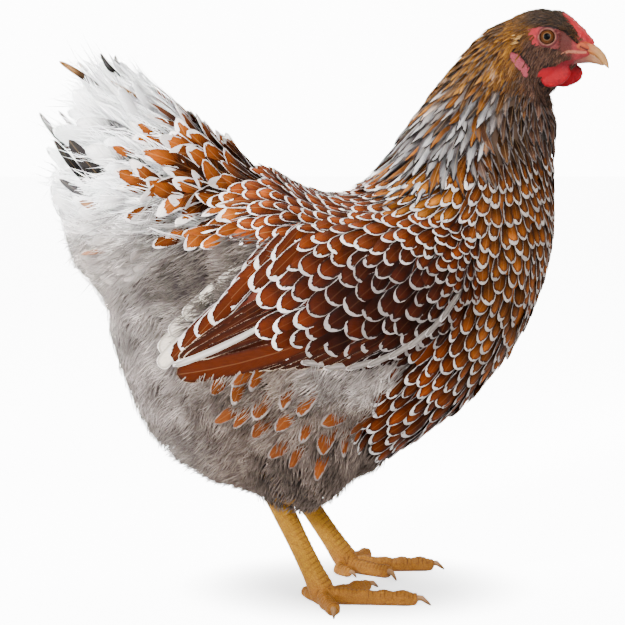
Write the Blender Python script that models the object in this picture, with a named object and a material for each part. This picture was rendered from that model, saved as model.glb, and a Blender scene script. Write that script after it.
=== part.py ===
"""A life-size standing hen, modelled whole and parted into its named sub-parts.

The bird faces +X with +Z up.  Its feathered outline is one smooth body that
runs from the head down the neck, through the trunk and up to the tail; thin
cuts part it into nodes.  Wings lie on the flanks, thighs and tail sit in
pockets, and the toes rest on small flats at z = 0.
Sizes in the tables below are millimetres; MM turns them into metres.
"""
import math
from collections import namedtuple

import bmesh
import bpy
import numpy as np
from mathutils import Vector
from mathutils.bvhtree import BVHTree

MM = 0.001
GAP = 0.36              # clearance between neighbouring solids
HEAD_TURN = 22.0        # degrees the head is turned to the bird's right
TURN_PIVOT_X = 125.0    # the neck's axis, about which the head turns
TURN_START_Z = 285.0    # the turn grows between these two heights
TURN_FULL_Z = 340.0

# A rung spans the body from its upper outline to its lower outline.
# top and low are (x, z); half is the half width; full is the roundness
# exponent (2 is an ellipse); swell widens the section towards its low end.
Rung = namedtuple("Rung", "top low half full swell")

BODY_RUNGS = [
    Rung((136, 372), (154, 341), 9, 2.0, 0.0),
    Rung((127, 376.5), (161, 331), 17, 2.0, 0.0),
    Rung((118, 373), (162.5, 321), 20, 2.1, 0.0),
    Rung((107, 365), (160.5, 310), 23, 2.1, 0.0),
    Rung((93, 349.5), (158, 298), 30, 2.1, -0.03),
    Rung((79.5, 332.5), (158, 282), 38.5, 2.1, -0.05),
    Rung((66.5, 313.5), (158.5, 263), 50.5, 2.1, -0.05),
    Rung((54, 294.5), (158.5, 242), 63, 2.2, 0.0),
    Rung((42, 277), (156, 223), 73, 2.2, 0.0),
    Rung((30, 267), (150, 202), 81, 2.35, 0.0),
    Rung((15, 264), (141.5, 180), 83.5, 2.35, 0.0),
    Rung((0, 266), (126, 154.5), 83, 2.3, 0.0),
    Rung((-15, 273), (102.5, 126.5), 83, 2.3, 0.0),
    Rung((-30, 282), (74, 105), 82, 2.3, 0.02),
    Rung((-45, 286), (42, 83.5), 79, 2.2, 0.04),
    Rung((-59, 282), (8, 70), 75.5, 2.2, 0.06),
    Rung((-73, 276), (-30, 65), 71, 2.15, 0.06),
    Rung((-88, 268), (-66, 75), 63.5, 2.1, 0.06),
    Rung((-105, 254), (-97, 96), 55.5, 2.05, 0.04),
    Rung((-122, 232), (-120, 133), 40, 2.0, 0.0),
    Rung((-134, 206), (-134, 166), 20, 2.0, 0.0),
]

HEAD_RUNGS = [
    Rung((117, 369), (148, 324), 13, 2.0, 0.0),
    Rung((127, 377), (156, 330), 18, 2.1, 0.0),
    Rung((139, 382), (161, 336), 18.5, 2.2, 0.0),
    Rung((151, 383.5), (165, 341), 16.5, 2.3, 0.0),
    Rung((160, 381.5), (169, 345.5), 14, 2.3, 0.0),
    Rung((168, 375.5), (174, 348.8), 11, 2.3, 0.0),
    Rung((175, 368), (179, 350.5), 8.2, 2.2, 0.05),
    Rung((181, 361.5), (183, 352.5), 5.2, 2.1, 0.1),
]

TAIL_RUNGS = [
    Rung((-20, 262), (-42, 236), 16, 2.0, 0.0),
    Rung((-37, 284), (-68, 226), 36, 2.2, 0.0),
    Rung((-57, 296.5), (-94, 214), 46, 2.2, 0.0),
    Rung((-74, 309), (-118, 206), 51, 2.2, -0.02),
    Rung((-90, 322), (-141, 200), 51, 2.2, -0.04),
    Rung((-108, 334), (-155, 211), 48, 2.2, -0.06),
    Rung((-128, 343), (-164, 232), 42, 2.1, -0.08),
    Rung((-147, 351), (-170, 258), 34, 2.0, -0.08),
]
TAIL_TIP_REACH = 11.0       # every other feather tip passes the last rung by this
TAIL_TIP_NOTCH = 5.0        # and the ones between fall short by this
TAIL_BOWL = 0.72            # the hollow's width at mid depth over the last rung's
TAIL_BOWL_SHIFT = (35, 0, -12)      # from the last rung to the hollow's mid depth
TAIL_HOLLOW = (-86, 280)   # where the fan of tips closes in its middle

BEAK_UPPER_RUNGS = [
    Rung((170, 364), (167, 354.0), 5.6, 2.0, 0.1),
    Rung((176, 363.5), (173, 354.6), 6.6, 2.1, 0.15),
    Rung((183, 362.2), (180.5, 355.0), 6.0, 2.1, 0.15),
    Rung((188.3, 358.4), (185.8, 353.5), 4.9, 2.0, 0.1),
    Rung((192.0, 354.4), (188.8, 350.2), 3.6, 2.0, 0.0),
    Rung((194.0, 349.8), (191.4, 347.8), 2.2, 2.0, 0.0),
    Rung((194.7, 345.6), (193.8, 345.9), 0.7, 2.0, 0.0),
]

BEAK_LOWER_RUNGS = [
    Rung((166, 352.6), (167.5, 347.6), 5.0, 2.0, 0.0),
    Rung((173, 354.2), (174.5, 348.6), 5.7, 2.1, -0.1),
    Rung((180, 354.6), (181.5, 348.7), 5.0, 2.1, -0.1),
    Rung((185.0, 353.2), (186.6, 347.8), 3.9, 2.0, 0.0),
    Rung((188.2, 350.2), (189.4, 347.0), 2.6, 2.0, 0.0),
    Rung((190.8, 348.2), (191.2, 346.8), 1.2, 2.0, 0.0),
]

COMB_RUNGS = [
    Rung((157, 382.2), (158.5, 379), 1.6, 2.0, 0.0),
    Rung((161.5, 382.6), (161.5, 375), 4.6, 2.1, 0.1),
    Rung((168, 379.6), (165.5, 370), 5.8, 2.2, 0.1),
    Rung((174.5, 373.8), (171, 364), 5.8, 2.2, 0.1),
    Rung((180, 368.2), (176, 359.5), 4.8, 2.1, 0.1),
    Rung((184.8, 362.4), (182.2, 359.0), 2.4, 2.0, 0.0),
]

# The folded wing in side view: matching points of its upper and lower edges
# from the shoulder back to the tip, with the plumage thickness between them.
WingRib = namedtuple("WingRib", "upper lower thick")

WING_RIBS = [
    WingRib((101, 224), (100, 202), 3.0),
    WingRib((95, 238), (91, 188), 6.0),
    WingRib((80, 246), (76, 172), 8.5),
    WingRib((58, 250), (54, 162), 9.5),
    WingRib((32, 250), (30, 158), 10.0),
    WingRib((6, 246), (4, 158), 10.0),
    WingRib((-18, 237), (-20, 157), 9.0),
    WingRib((-40, 218), (-42, 154), 8.0),
    WingRib((-60, 200), (-62, 151), 7.0),
    WingRib((-80, 183), (-80, 148), 5.0),
    WingRib((-98, 162), (-94, 152), 3.0),
]
WING_EDGE = 1.8     # how far the wing's rim stands off the flank
WING_BED = 2.0      # how deep the wing is bedded in the flank
WING_SLOPE = 0.8    # the share of the wing's width over which it rises from its rim

EYE_CENTRE = (157.0, 11.0, 364.9)
EYE_RADIUS = 7.4

# Wattles hang from the jaw, earlobes lie behind it; radii are half length,
# half thickness and half height, lean tilts the length in side view.
WATTLE_CENTRE = (160.3, 9.0, 341.5)
WATTLE_SWING = 4.0          # how far the left one hangs ahead of the right
WATTLE_RADII = (11.8, 2.7, 7.6)
WATTLE_LEAN = -14.0
EARLOBE_CENTRE = (139.0, 17.2, 349)
EARLOBE_RADII = (2.6, 2.2, 8.6)
EARLOBE_LEAN = -30.0

# The neck is parted from the trunk under the hackle's lower edge, in side view,
# and the head from the neck with a flat cut.
NECK_CUT = [(24, 258), (48, 253), (100, 258), (170, 290)]
NECK_REGION_TOP = [(300, 290), (300, 450), (24, 450)]
HEAD_CUT_POINT = (141, 0, 355)
HEAD_CUT_WAY = (1, -0.35, 0.42)

# A limb is a tube: centre (x, y, z) with its half depth and half width.
Knot = namedtuple("Knot", "x y z deep wide")

# Toes run from the ankle to a mid joint, the ball at their end and the claw's
# tip; thick is the half height at the ball.  Toe 1 points back, 2 is inner,
# 3 middle and 4 outer.
Toe = namedtuple("Toe", "number mid ball claw thick")
Leg = namedtuple("Leg", "word hip knee hock ankle toes")

LEGS = [
    Leg("right", (12, -43, 150), (-8, -48, 99), (-22.5, -44.5, 69), (6, -44, 9), [
        Toe(3, (34, -45.5), (62, -48), (76.5, -51), 5.0),
        Toe(4, (9.5, -60), (13, -73), (13.5, -84), 4.8),
        Toe(2, (20, -30), (34, -15), (44, -4), 4.6),
        Toe(1, (-1, -34), (-4, -26), (-7, -18), 3.6),
    ]),
    Leg("left", (12, 43, 150), (-6, 48, 99), (-17.5, 44.5, 69), (22.5, 44, 9), [
        Toe(3, (50, 44), (78, 44.5), (91.5, 45), 5.0),
        Toe(4, (30, 60), (37, 74), (42, 86), 4.8),
        Toe(2, (37, 33), (50, 25), (57, 13), 4.8),
        Toe(1, (18, 34), (24, 27), (30, 21), 3.8),
    ]),
]
SHANK_RADII = (6.6, 5.2)    # half depth and half width at mid shank
SOLE_SINK = 0.84            # a toe's centre height over its half height: the rest is sole
THIGH_SIZES = [(24, 22), (35, 30), (36, 31), (28, 25), (17, 16)]


def lerp(a, b, t):
    return a + (b - a) * t


def catmull(values, per_span):
    """Smooth curve through rows of numbers, per_span steps between rows."""
    rows = np.asarray(values, float)
    padded = np.vstack([2 * rows[0] - rows[1], rows, 2 * rows[-1] - rows[-2]])
    out = []
    for i in range(1, len(rows)):
        p0, p1, p2, p3 = padded[i - 1:i + 3]
        for step in range(per_span):
            t = step / per_span
            out.append(0.5 * (2 * p1 + (p2 - p0) * t
                              + (2 * p0 - 5 * p1 + 4 * p2 - p3) * t ** 2
                              + (3 * p1 - p0 - 3 * p2 + p3) * t ** 3))
    out.append(rows[-1])
    return np.array(out)


def turned(point):
    """Turn a point with the head; below the neck nothing moves."""
    x, y, z = point
    t = min(max((z - TURN_START_Z) / (TURN_FULL_Z - TURN_START_Z), 0.0), 1.0)
    angle = math.radians(HEAD_TURN) * t * t * (3 - 2 * t)
    dx = x - TURN_PIVOT_X
    return (TURN_PIVOT_X + dx * math.cos(angle) + y * math.sin(angle),
            y * math.cos(angle) - dx * math.sin(angle), z)


def section(row, segments):
    """Points of one rung's closed section, starting at its top."""
    top_x, top_z, low_x, low_z, half, full, swell = row
    points = []
    for i in range(segments):
        angle = math.tau * i / segments
        c, s = math.cos(angle), math.sin(angle)
        along = math.copysign(abs(c) ** (2 / full), c)
        across = math.copysign(abs(s) ** (2 / full), s) * half * (1 - swell * along)
        t = (1 - along) / 2
        points.append((lerp(top_x, low_x, t), across, lerp(top_z, low_z, t)))
    return points


UNCUT = {}      # each solid's mesh before anything was carved from it


def mesh_object(name, bm, finish):
    """Give a bmesh flat triangles and outward faces, its name and material."""
    bmesh.ops.triangulate(bm, faces=bm.faces)
    bmesh.ops.recalc_face_normals(bm, faces=bm.faces)
    if bm.calc_volume(signed=True) < 0:
        bmesh.ops.reverse_faces(bm, faces=bm.faces)
    mesh = bpy.data.meshes.new(name)
    bm.to_mesh(mesh)
    bm.free()
    mesh.materials.append(finish)
    mesh.shade_smooth()
    mesh.set_sharp_from_angle(angle=math.radians(50))
    UNCUT[name] = mesh.copy()
    obj = bpy.data.objects.new(name, mesh)
    bpy.context.scene.collection.objects.link(obj)
    return obj


def skin_rings(bm, rings, start_tip=None, end_tip=None):
    """Bridge rings of equal count; close each end with a fan or a flat face."""
    loops = [[bm.verts.new([c * MM for c in p]) for p in ring] for ring in rings]
    count = len(loops[0])
    for a, b in zip(loops, loops[1:]):
        for i in range(count):
            j = (i + 1) % count
            bm.faces.new((a[i], a[j], b[j], b[i]))
    for loop, tip in ((loops[0][::-1], start_tip), (loops[-1], end_tip)):
        if tip is None:
            bm.faces.new(loop)
            continue
        apex = bm.verts.new([c * MM for c in tip])
        for i in range(count):
            bm.faces.new((loop[i], loop[(i + 1) % count], apex))


def rung_rows(rungs):
    return [(*r.top, *r.low, r.half, r.full, r.swell) for r in rungs]


def rung_loft(name, rungs, finish, segments, per_span, nose=0.0, tail=0.0):
    """Loft through rungs; nose and tail are how far the end tips pass them."""
    rows = catmull(rung_rows(rungs), per_span)
    rings = [[turned(p) for p in section(row, segments)] for row in rows]
    tips = []
    for row, inner, reach in ((rows[0], rows[1], nose), (rows[-1], rows[-2], tail)):
        here = np.array([(row[0] + row[2]) / 2, 0, (row[1] + row[3]) / 2])
        back = np.array([(inner[0] + inner[2]) / 2, 0, (inner[1] + inner[3]) / 2])
        way = (here - back) / np.linalg.norm(here - back)
        tips.append(turned(here + way * reach))
    bm = bmesh.new()
    skin_rings(bm, rings, tips[0], tips[1])
    return mesh_object(name, bm, finish)


def grown_copy(source, grow):
    """The uncut form pushed out along its normals: a cutter with clearance."""
    mesh = UNCUT[source.name].copy()
    normals = [v.normal.copy() for v in mesh.vertices]
    for vert, normal in zip(mesh.vertices, normals):
        vert.co += normal * grow * MM
    cutter = bpy.data.objects.new("cut_" + source.name, mesh)
    bpy.context.scene.collection.objects.link(cutter)
    return cutter


def is_sound(mesh):
    """True for a mesh that is closed and holds some volume."""
    bm = bmesh.new()
    bm.from_mesh(mesh)
    sound = bool(bm.faces) and all(e.is_manifold for e in bm.edges)
    sound = sound and bm.calc_volume(signed=True) > 0
    bm.free()
    return sound


def carve(target, cutters, operation="DIFFERENCE"):
    """Apply one exact Boolean with all the cutters, then remove them."""
    tools = bpy.data.collections.new("cutters")
    for cutter in cutters:
        tools.objects.link(cutter)
    cut = target.modifiers.new("cut", "BOOLEAN")
    cut.operation = operation
    cut.solver = "EXACT"
    cut.operand_type = "COLLECTION"
    cut.collection = tools
    for folded in (False, True):
        cut.use_self = folded
        bpy.context.view_layer.update()
        evaluated = target.evaluated_get(bpy.context.evaluated_depsgraph_get())
        mesh = bpy.data.meshes.new_from_object(evaluated)
        if is_sound(mesh):
            break
    else:
        raise RuntimeError(f"could not cut {target.name} with {cutters[0].name}")
    target.modifiers.remove(cut)
    target.data = mesh
    for cutter in cutters:
        bpy.data.objects.remove(cutter)
    bpy.data.collections.remove(tools)


def clear_of(target, neighbours, gap=GAP):
    """Cut the target back so that it keeps a gap clear of its neighbours."""
    carve(target, [grown_copy(neighbour, gap) for neighbour in neighbours])


def half_space(point, normal, reach=400.0):
    """A big block whose flat face passes through point, on normal's side."""
    normal = Vector(normal).normalized()
    side = normal.orthogonal().normalized()
    up = normal.cross(side)
    bm = bmesh.new()
    corners = []
    for depth in (0.0, reach):
        for a, b in ((-1, -1), (1, -1), (1, 1), (-1, 1)):
            at = Vector(point) + normal * depth + (side * a + up * b) * reach / 2
            corners.append(bm.verts.new(at * MM))
    for face in ((0, 1, 2, 3), (4, 5, 6, 7), (0, 1, 5, 4),
                 (1, 2, 6, 5), (2, 3, 7, 6), (3, 0, 4, 7)):
        bm.faces.new([corners[i] for i in face])
    return mesh_object("cut_block", bm, None)


def prism(outline, reach=150.0):
    """A block whose side view is the outline, used to part off a region."""
    bm = bmesh.new()
    sides = [[bm.verts.new(Vector((x, y, z)) * MM) for x, z in outline] for y in (-reach, reach)]
    bm.faces.new(sides[0])
    bm.faces.new(sides[1])
    count = len(outline)
    for i in range(count):
        j = (i + 1) % count
        bm.faces.new((sides[0][i], sides[0][j], sides[1][j], sides[1][i]))
    return mesh_object("cut_prism", bm, None)


def part_at(front, rear, point, normal):
    """Part two overlapping solids with a thin flat cut through a point."""
    normal = Vector(normal).normalized()
    half_gap = normal * GAP / 2
    carve(front, [half_space(Vector(point) + half_gap, -normal)])
    carve(rear, [half_space(Vector(point) - half_gap, normal)])


def make_finish(name, colour, roughness, metallic=0.0):
    finish = bpy.data.materials.new(name)
    finish.use_nodes = True
    shader = finish.node_tree.nodes["Principled BSDF"]
    shader.inputs["Base Color"].default_value = (*colour, 1.0)
    shader.inputs["Roughness"].default_value = roughness
    shader.inputs["Metallic"].default_value = metallic
    return finish


def make_tail(finish):
    """The tail fan: rungs that widen, then end in pointed feather tips."""
    segments = 24
    rings = [section(row, segments) for row in rung_rows(TAIL_RUNGS)]
    last, before = np.array(rings[-1]), np.array(rings[-2])
    way = last - before
    way /= np.linalg.norm(way, axis=1)[:, None]
    step = [TAIL_TIP_REACH if i % 2 == 0 else -TAIL_TIP_NOTCH for i in range(segments)]
    rings[-1] = last + way * np.array(step)[:, None]
    middle = last.mean(axis=0)
    rings.append(middle + (last - middle) * TAIL_BOWL + TAIL_BOWL_SHIFT)
    bm = bmesh.new()
    skin_rings(bm, rings, (TAIL_RUNGS[0].top[0] + 4, 0, 246),
               (TAIL_HOLLOW[0], 0, TAIL_HOLLOW[1]))
    return mesh_object("tail", bm, finish)


def flank_point(tree, x, z, side):
    """Where a sideways ray meets the body's flank, and its outward normal."""
    start = Vector((x, side * 300.0, z)) * MM
    hit, normal, _, _ = tree.ray_cast(start, Vector((0, -side, 0)))
    if hit is None:
        return None, None
    if normal.y * side < 0:
        normal = -normal
    return hit / MM, normal


def make_wing(name, side, body, finish):
    """A folded wing: a padded shell bedded in the flank within its outline."""
    across = 8
    depsgraph = bpy.context.evaluated_depsgraph_get()
    tree = BVHTree.FromObject(body, depsgraph)
    ribs = catmull([(*r.upper, *r.lower, r.thick) for r in WING_RIBS], 1)
    inner, outer = [], []
    for row, (ux, uz, lx, lz, thick) in enumerate(ribs):
        inner_row, outer_row = [], []
        for col in range(across):
            v = col / (across - 1)
            hit, normal = flank_point(tree, lerp(ux, lx, v), lerp(uz, lz, v), side)
            rim = min(v, 1 - v) * 2 / WING_SLOPE
            end = min(row, len(ribs) - 1 - row)
            crown = math.sqrt(min(rim, 1.0)) if end > 0 else 0.0
            inner_row.append(hit - normal * WING_BED)
            outer_row.append(hit + normal * lerp(WING_EDGE, thick, crown))
        inner.append(inner_row)
        outer.append(outer_row)
    bm = bmesh.new()
    sheets = [[[bm.verts.new(p * MM) for p in row] for row in sheet] for sheet in (inner, outer)]
    rows = len(ribs)
    for sheet in sheets:
        for i in range(rows - 1):
            for j in range(across - 1):
                bm.faces.new((sheet[i][j], sheet[i + 1][j], sheet[i + 1][j + 1], sheet[i][j + 1]))
    rim_cells = [(i, 0) for i in range(rows)] + [(rows - 1, j) for j in range(1, across)]
    rim_cells += [(i, across - 1) for i in range(rows - 2, -1, -1)]
    rim_cells += [(0, j) for j in range(across - 2, 0, -1)]
    for (i, j), (k, m) in zip(rim_cells, rim_cells[1:] + rim_cells[:1]):
        bm.faces.new((sheets[0][i][j], sheets[0][k][m], sheets[1][k][m], sheets[1][i][j]))
    return mesh_object(name, bm, finish)


def tube(name, knots, finish, segments=12, per_span=2, floor=None, start=0.0, end=0.0):
    """A limb along its knots; floor flattens whatever would reach below it."""
    rows = catmull([tuple(k) for k in knots], per_span)
    centres = rows[:, :3]
    ways = np.gradient(centres, axis=0)
    rings = []
    for centre, way, (deep, wide) in zip(centres, ways, rows[:, 3:]):
        way = Vector(way).normalized()
        sideways = Vector((0, 0, 1)).cross(way)
        if sideways.length < 0.5:
            sideways = way.cross(Vector((1, 0, 0)))
        sideways.normalize()
        depth = way.cross(sideways)
        ring = []
        for i in range(segments):
            angle = math.tau * (i + 0.5) / segments
            at = Vector(centre) + depth * deep * math.cos(angle) + sideways * wide * math.sin(angle)
            if floor is not None:
                at.z = max(at.z, floor)
            ring.append(at)
        rings.append(ring)
    tips = []
    for centre, way, reach in ((centres[0], -ways[0], start), (centres[-1], ways[-1], end)):
        tips.append(Vector(centre) + Vector(way).normalized() * reach)
    bm = bmesh.new()
    skin_rings(bm, rings, tips[0], tips[1])
    return mesh_object(name, bm, finish)


def rotation_matrix(degrees):
    """Rotation matrix from X, Y and Z angles in degrees."""
    a, b, c = (math.radians(d) for d in degrees)
    rx = np.array([[1, 0, 0], [0, math.cos(a), -math.sin(a)], [0, math.sin(a), math.cos(a)]])
    ry = np.array([[math.cos(b), 0, math.sin(b)], [0, 1, 0], [-math.sin(b), 0, math.cos(b)]])
    rz = np.array([[math.cos(c), -math.sin(c), 0], [math.sin(c), math.cos(c), 0], [0, 0, 1]])
    return rz @ ry @ rx


def spheroid(name, centre, radii, finish, segments=16, rings=9, tilt=(0, 0, 0)):
    """A smooth rounded solid, tilted and then placed with the turned head."""
    bm = bmesh.new()
    bmesh.ops.create_uvsphere(bm, u_segments=segments, v_segments=rings, radius=1.0)
    turn = rotation_matrix(tilt)
    for vert in bm.verts:
        local = turn @ (np.array(vert.co) * radii)
        vert.co = Vector(turned(local + np.array(centre))) * MM
    return mesh_object(name, bm, finish)




def make_leg(leg, finishes):
    """Feathered thigh, scaled shank, four toes and their claws."""
    hip, knee, hock, ankle = (np.array(p, float) for p in (leg.hip, leg.knee, leg.hock, leg.ankle))
    stops = [hip, lerp(hip, knee, 0.5), knee, lerp(knee, hock, 0.6), hock]
    thigh = tube("thigh_" + leg.word, [Knot(*p, *s) for p, s in zip(stops, THIGH_SIZES)],
                 finishes["fluff"], segments=12, start=12, end=2)
    deep, wide = SHANK_RADII
    shank = tube("shank_" + leg.word, [
        Knot(*lerp(hock, ankle, -0.25), deep + 0.4, wide + 0.6),
        Knot(*hock, deep + 0.6, wide + 0.8),
        Knot(*lerp(hock, ankle, 0.45), deep, wide),
        Knot(*lerp(hock, ankle, 0.8), deep + 0.4, wide + 0.4),
        Knot(*ankle, deep + 1.6, wide + 1.6),
        Knot(*lerp(hock, ankle, 1.13), deep + 0.8, wide + 1.2),
    ], finishes["leg"], floor=0.0, start=3, end=1.0)
    clear_of(thigh, [shank])
    toes = {}
    for toe in leg.toes:
        toes[toe.number] = make_toe(leg, toe, finishes["leg"])
    for number, keep in ((3, []), (4, [toes[3]]), (2, [toes[3]]), (1, [toes[2]])):
        clear_of(toes[number], [shank] + keep)
    for toe in leg.toes:
        clear_of(make_claw(leg, toe, finishes["horn"]), [toes[toe.number]])
    return [thigh, shank]


def make_toe(leg, toe, finish):
    thick = toe.thick
    ankle = np.array(leg.ankle, float) * (1, 1, 0) + (0, 0, thick + 0.6)
    mid = np.array((*toe.mid, thick * SOLE_SINK))
    ball = np.array((*toe.ball, thick * SOLE_SINK))
    return tube(f"toe{toe.number}_" + leg.word, [
        Knot(*ankle, thick + 0.6, thick + 0.2),
        Knot(*lerp(ankle, mid, 0.6), thick + 0.5, thick),
        Knot(*mid, thick, thick - 0.3),
        Knot(*lerp(mid, ball, 0.75), thick, thick - 0.2),
        Knot(*ball, thick, thick - 0.2),
        Knot(*lerp(mid, ball, 1.18), thick * 0.75, thick * 0.75),
    ], finish, segments=8, per_span=1, floor=0.0, start=1, end=1.4)


def make_claw(leg, toe, finish):
    ball = np.array((*toe.ball, toe.thick + 0.4))
    tip = np.array((*toe.claw, 0.9))
    root = toe.thick * 0.48
    arch = lerp(ball, tip, 0.62)
    arch[2] = toe.thick + 0.2
    return tube(f"claw{toe.number}_" + leg.word, [
        Knot(*ball, root, root),
        Knot(*arch, root * 0.78, root * 0.7),
        Knot(*lerp(arch, tip, 0.6), root * 0.5, root * 0.45),
        Knot(*tip, root * 0.22, root * 0.22),
    ], finish, segments=6, per_span=1, floor=0.3, start=0.5, end=0.4)


def make_head_pieces(head, neck, finishes):
    """Bill, comb, eyes, wattles and earlobes, each clear of its neighbours."""
    upper = rung_loft("beak_upper", BEAK_UPPER_RUNGS, finishes["horn"], 10, 1, 0.5, 0.6)
    lower = rung_loft("beak_lower", BEAK_LOWER_RUNGS, finishes["horn"], 10, 1, 0.5, 0.4)
    comb = rung_loft("comb", COMB_RUNGS, finishes["comb"], 12, 1, 0.5, 0.5)
    clear_of(lower, [upper])
    clear_of(upper, [comb])
    pieces = [upper, lower, comb]
    hanging = []
    for side, word in ((-1, "right"), (1, "left")):
        ex, ey, ez = EYE_CENTRE
        eye = spheroid("eye_" + word, (ex, side * ey, ez), (EYE_RADIUS,) * 3,
                       finishes["eye"], 12, 8, (90, 0, 0))
        x, y, z = WATTLE_CENTRE
        x += WATTLE_SWING * (side > 0)
        wattle = spheroid("wattle_" + word, (x, side * y, z), WATTLE_RADII,
                          finishes["comb"], 12, 7, (side * 14, WATTLE_LEAN, side * -8))
        x, y, z = EARLOBE_CENTRE
        lobe = spheroid("earlobe_" + word, (x, side * y, z), EARLOBE_RADII,
                        finishes["comb"], 10, 6, (0, EARLOBE_LEAN, side * 12))
        clear_of(wattle, [lower])
        pieces.append(eye)
        hanging += [wattle, lobe]
    clear_of(neck, hanging)
    clear_of(head, pieces + hanging)


def settle_frame():
    """Shift everything so the box's bottom centre is the origin."""
    bpy.context.view_layer.update()
    low, high = np.full(3, np.inf), np.full(3, -np.inf)
    for obj in bpy.context.scene.objects:
        corners = np.array([v.co for v in obj.data.vertices])
        low = np.minimum(low, corners.min(axis=0))
        high = np.maximum(high, corners.max(axis=0))
    shift = Vector((-(low[0] + high[0]) / 2, -(low[1] + high[1]) / 2, -low[2]))
    for obj in bpy.context.scene.objects:
        for vert in obj.data.vertices:
            vert.co += shift


def main():
    for obj in list(bpy.data.objects):
        bpy.data.objects.remove(obj)
    finishes = {
        "laced": make_finish("laced_feathers", (0.36, 0.10, 0.03), 0.7),
        "hackle": make_finish("hackle_feathers", (0.24, 0.16, 0.10), 0.7),
        "tail": make_finish("tail_feathers", (0.55, 0.45, 0.40), 0.75),
        "fluff": make_finish("fluff", (0.33, 0.31, 0.31), 0.9),
        "face": make_finish("face_skin", (0.35, 0.06, 0.05), 0.5),
        "comb": make_finish("comb_skin", (0.70, 0.03, 0.02), 0.45),
        "leg": make_finish("leg_scales", (0.52, 0.30, 0.05), 0.5),
        "horn": make_finish("horn", (0.55, 0.38, 0.20), 0.35),
        "eye": make_finish("eye", (0.25, 0.08, 0.02), 0.1),
    }
    body = rung_loft("trunk", BODY_RUNGS, finishes["laced"], 24, 1, 3, 2)
    wings = []
    for side, word in ((-1, "right"), (1, "left")):
        wings.append(make_wing("wing_" + word, side, body, finishes["laced"]))
    bedded = wings + [make_tail(finishes["tail"])]
    for leg in LEGS:
        bedded += make_leg(leg, finishes)
    clear_of(body, bedded, gap=1.5 * GAP)
    neck = bpy.data.objects.new("neck", body.data.copy())
    neck.data.materials.clear()
    neck.data.materials.append(finishes["hackle"])
    bpy.context.scene.collection.objects.link(neck)
    carve(neck, [prism([(x, z + GAP) for x, z in NECK_CUT] + NECK_REGION_TOP)], "INTERSECT")
    carve(body, [prism([(x - GAP, z) for x, z in NECK_CUT] + NECK_REGION_TOP)])
    head = rung_loft("head", HEAD_RUNGS, finishes["face"], 20, 1, 1, 1)
    part_at(head, neck, turned(HEAD_CUT_POINT), HEAD_CUT_WAY)
    make_head_pieces(head, neck, finishes)
    settle_frame()


main()
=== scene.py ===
"""The looks of a life-size museum model of a blue-laced red hen, over its CAD part.

One skin follows the flesh under the coat, and every feather is a thin closed vane or tuft
of solid mesh, rooted in the skin and laid along the coat.  X is forward, Z is up, metres.
"""

import functools
import math

import bmesh
import bpy
import numpy as np
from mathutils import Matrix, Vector
from mathutils.bvhtree import BVHTree


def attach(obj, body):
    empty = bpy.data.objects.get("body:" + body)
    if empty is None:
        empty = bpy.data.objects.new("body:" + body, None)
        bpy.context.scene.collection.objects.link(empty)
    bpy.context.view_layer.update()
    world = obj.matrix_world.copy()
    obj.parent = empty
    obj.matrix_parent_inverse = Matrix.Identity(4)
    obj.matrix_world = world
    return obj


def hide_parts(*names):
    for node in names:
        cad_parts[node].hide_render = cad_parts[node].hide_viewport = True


bl_info = {
    "name": "Laced Hen",
    "version": (1, 0, 0),
    "blender": (4, 5, 0),
    "location": "3D Viewport > Sidebar > Hen",
    "description": "Skin, plumage, head, legs and studio for a life-size hen",
    "category": "Object",
}

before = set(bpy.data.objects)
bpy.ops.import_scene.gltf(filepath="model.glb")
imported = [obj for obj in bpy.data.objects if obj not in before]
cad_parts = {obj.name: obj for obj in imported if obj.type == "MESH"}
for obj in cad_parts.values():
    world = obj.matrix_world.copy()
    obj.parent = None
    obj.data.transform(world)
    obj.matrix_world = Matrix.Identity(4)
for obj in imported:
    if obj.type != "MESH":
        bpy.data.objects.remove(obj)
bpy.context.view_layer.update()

MM = 0.001
SIDES = (("right", -1), ("left", 1))
COATED = ["trunk", "neck", "head", "tail", "wing_right", "wing_left",
          "thigh_right", "thigh_left"]
HEAD_TRIM = ["comb", "wattle_right", "wattle_left", "earlobe_right", "earlobe_left"]
FEET = [part + "_" + word for word in ("right", "left")
        for part in ("shank", "toe1", "toe2", "toe3", "toe4")]
# The head turns about an upright axis, between these two heights of the neck.
HEAD_PIVOT_X, HEAD_TURN = 0.1164, math.radians(22)
HEAD_TURN_START, HEAD_TURN_FULL = 0.285, 0.340

# Colours are linear.
MAHOGANY = (0.028, 0.0040, 0.0006)
RUST = (0.158, 0.027, 0.0016)
WINE = (0.060, 0.0090, 0.0012)
GOLD = (0.440, 0.150, 0.014)
BREAST = (0.212, 0.057, 0.0075)
LACE = (0.64, 0.585, 0.555)
LACE_GREY = (0.37, 0.32, 0.29)
# Grey lace for the lower front of the folded wing: painted shade.
LACE_IN_PAINTED_SHADE = (0.19, 0.162, 0.148)
SMOKE = (0.118, 0.090, 0.074)
PALE_SMOKE = (0.235, 0.206, 0.189)
# Painted shade for the hollow below the tail coverts, laid over the down and the pale tail.
HOLLOW_SHADE = (0.050, 0.041, 0.036)
CREAM = (0.66, 0.58, 0.48)
TAIL_WHITE = (0.93, 0.92, 0.91)


def unit(v):
    """Vectors brought to length 1."""
    return v / np.maximum(np.linalg.norm(v, axis=-1, keepdims=True), 1e-12)


def dot(a, b):
    """Products of vectors row by row, kept as a column."""
    return (a * b).sum(-1, keepdims=True)


def ramp(x, low, high):
    """Smooth step from 0 at low to 1 at high."""
    t = np.clip((np.asarray(x, float) - low) / (high - low), 0, 1)
    return t * t * (3 - 2 * t)


def blend(a, b, t):
    """Colour a turned into b by a share."""
    t = np.asarray(t, float)[..., None]
    return np.asarray(a, float) * (1 - t) + np.asarray(b, float) * t


def layered(colour, *layers):
    """A colour with others laid over it in turn, each given with its share."""
    for other, share in layers:
        colour = blend(colour, other, share)
    return colour


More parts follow.
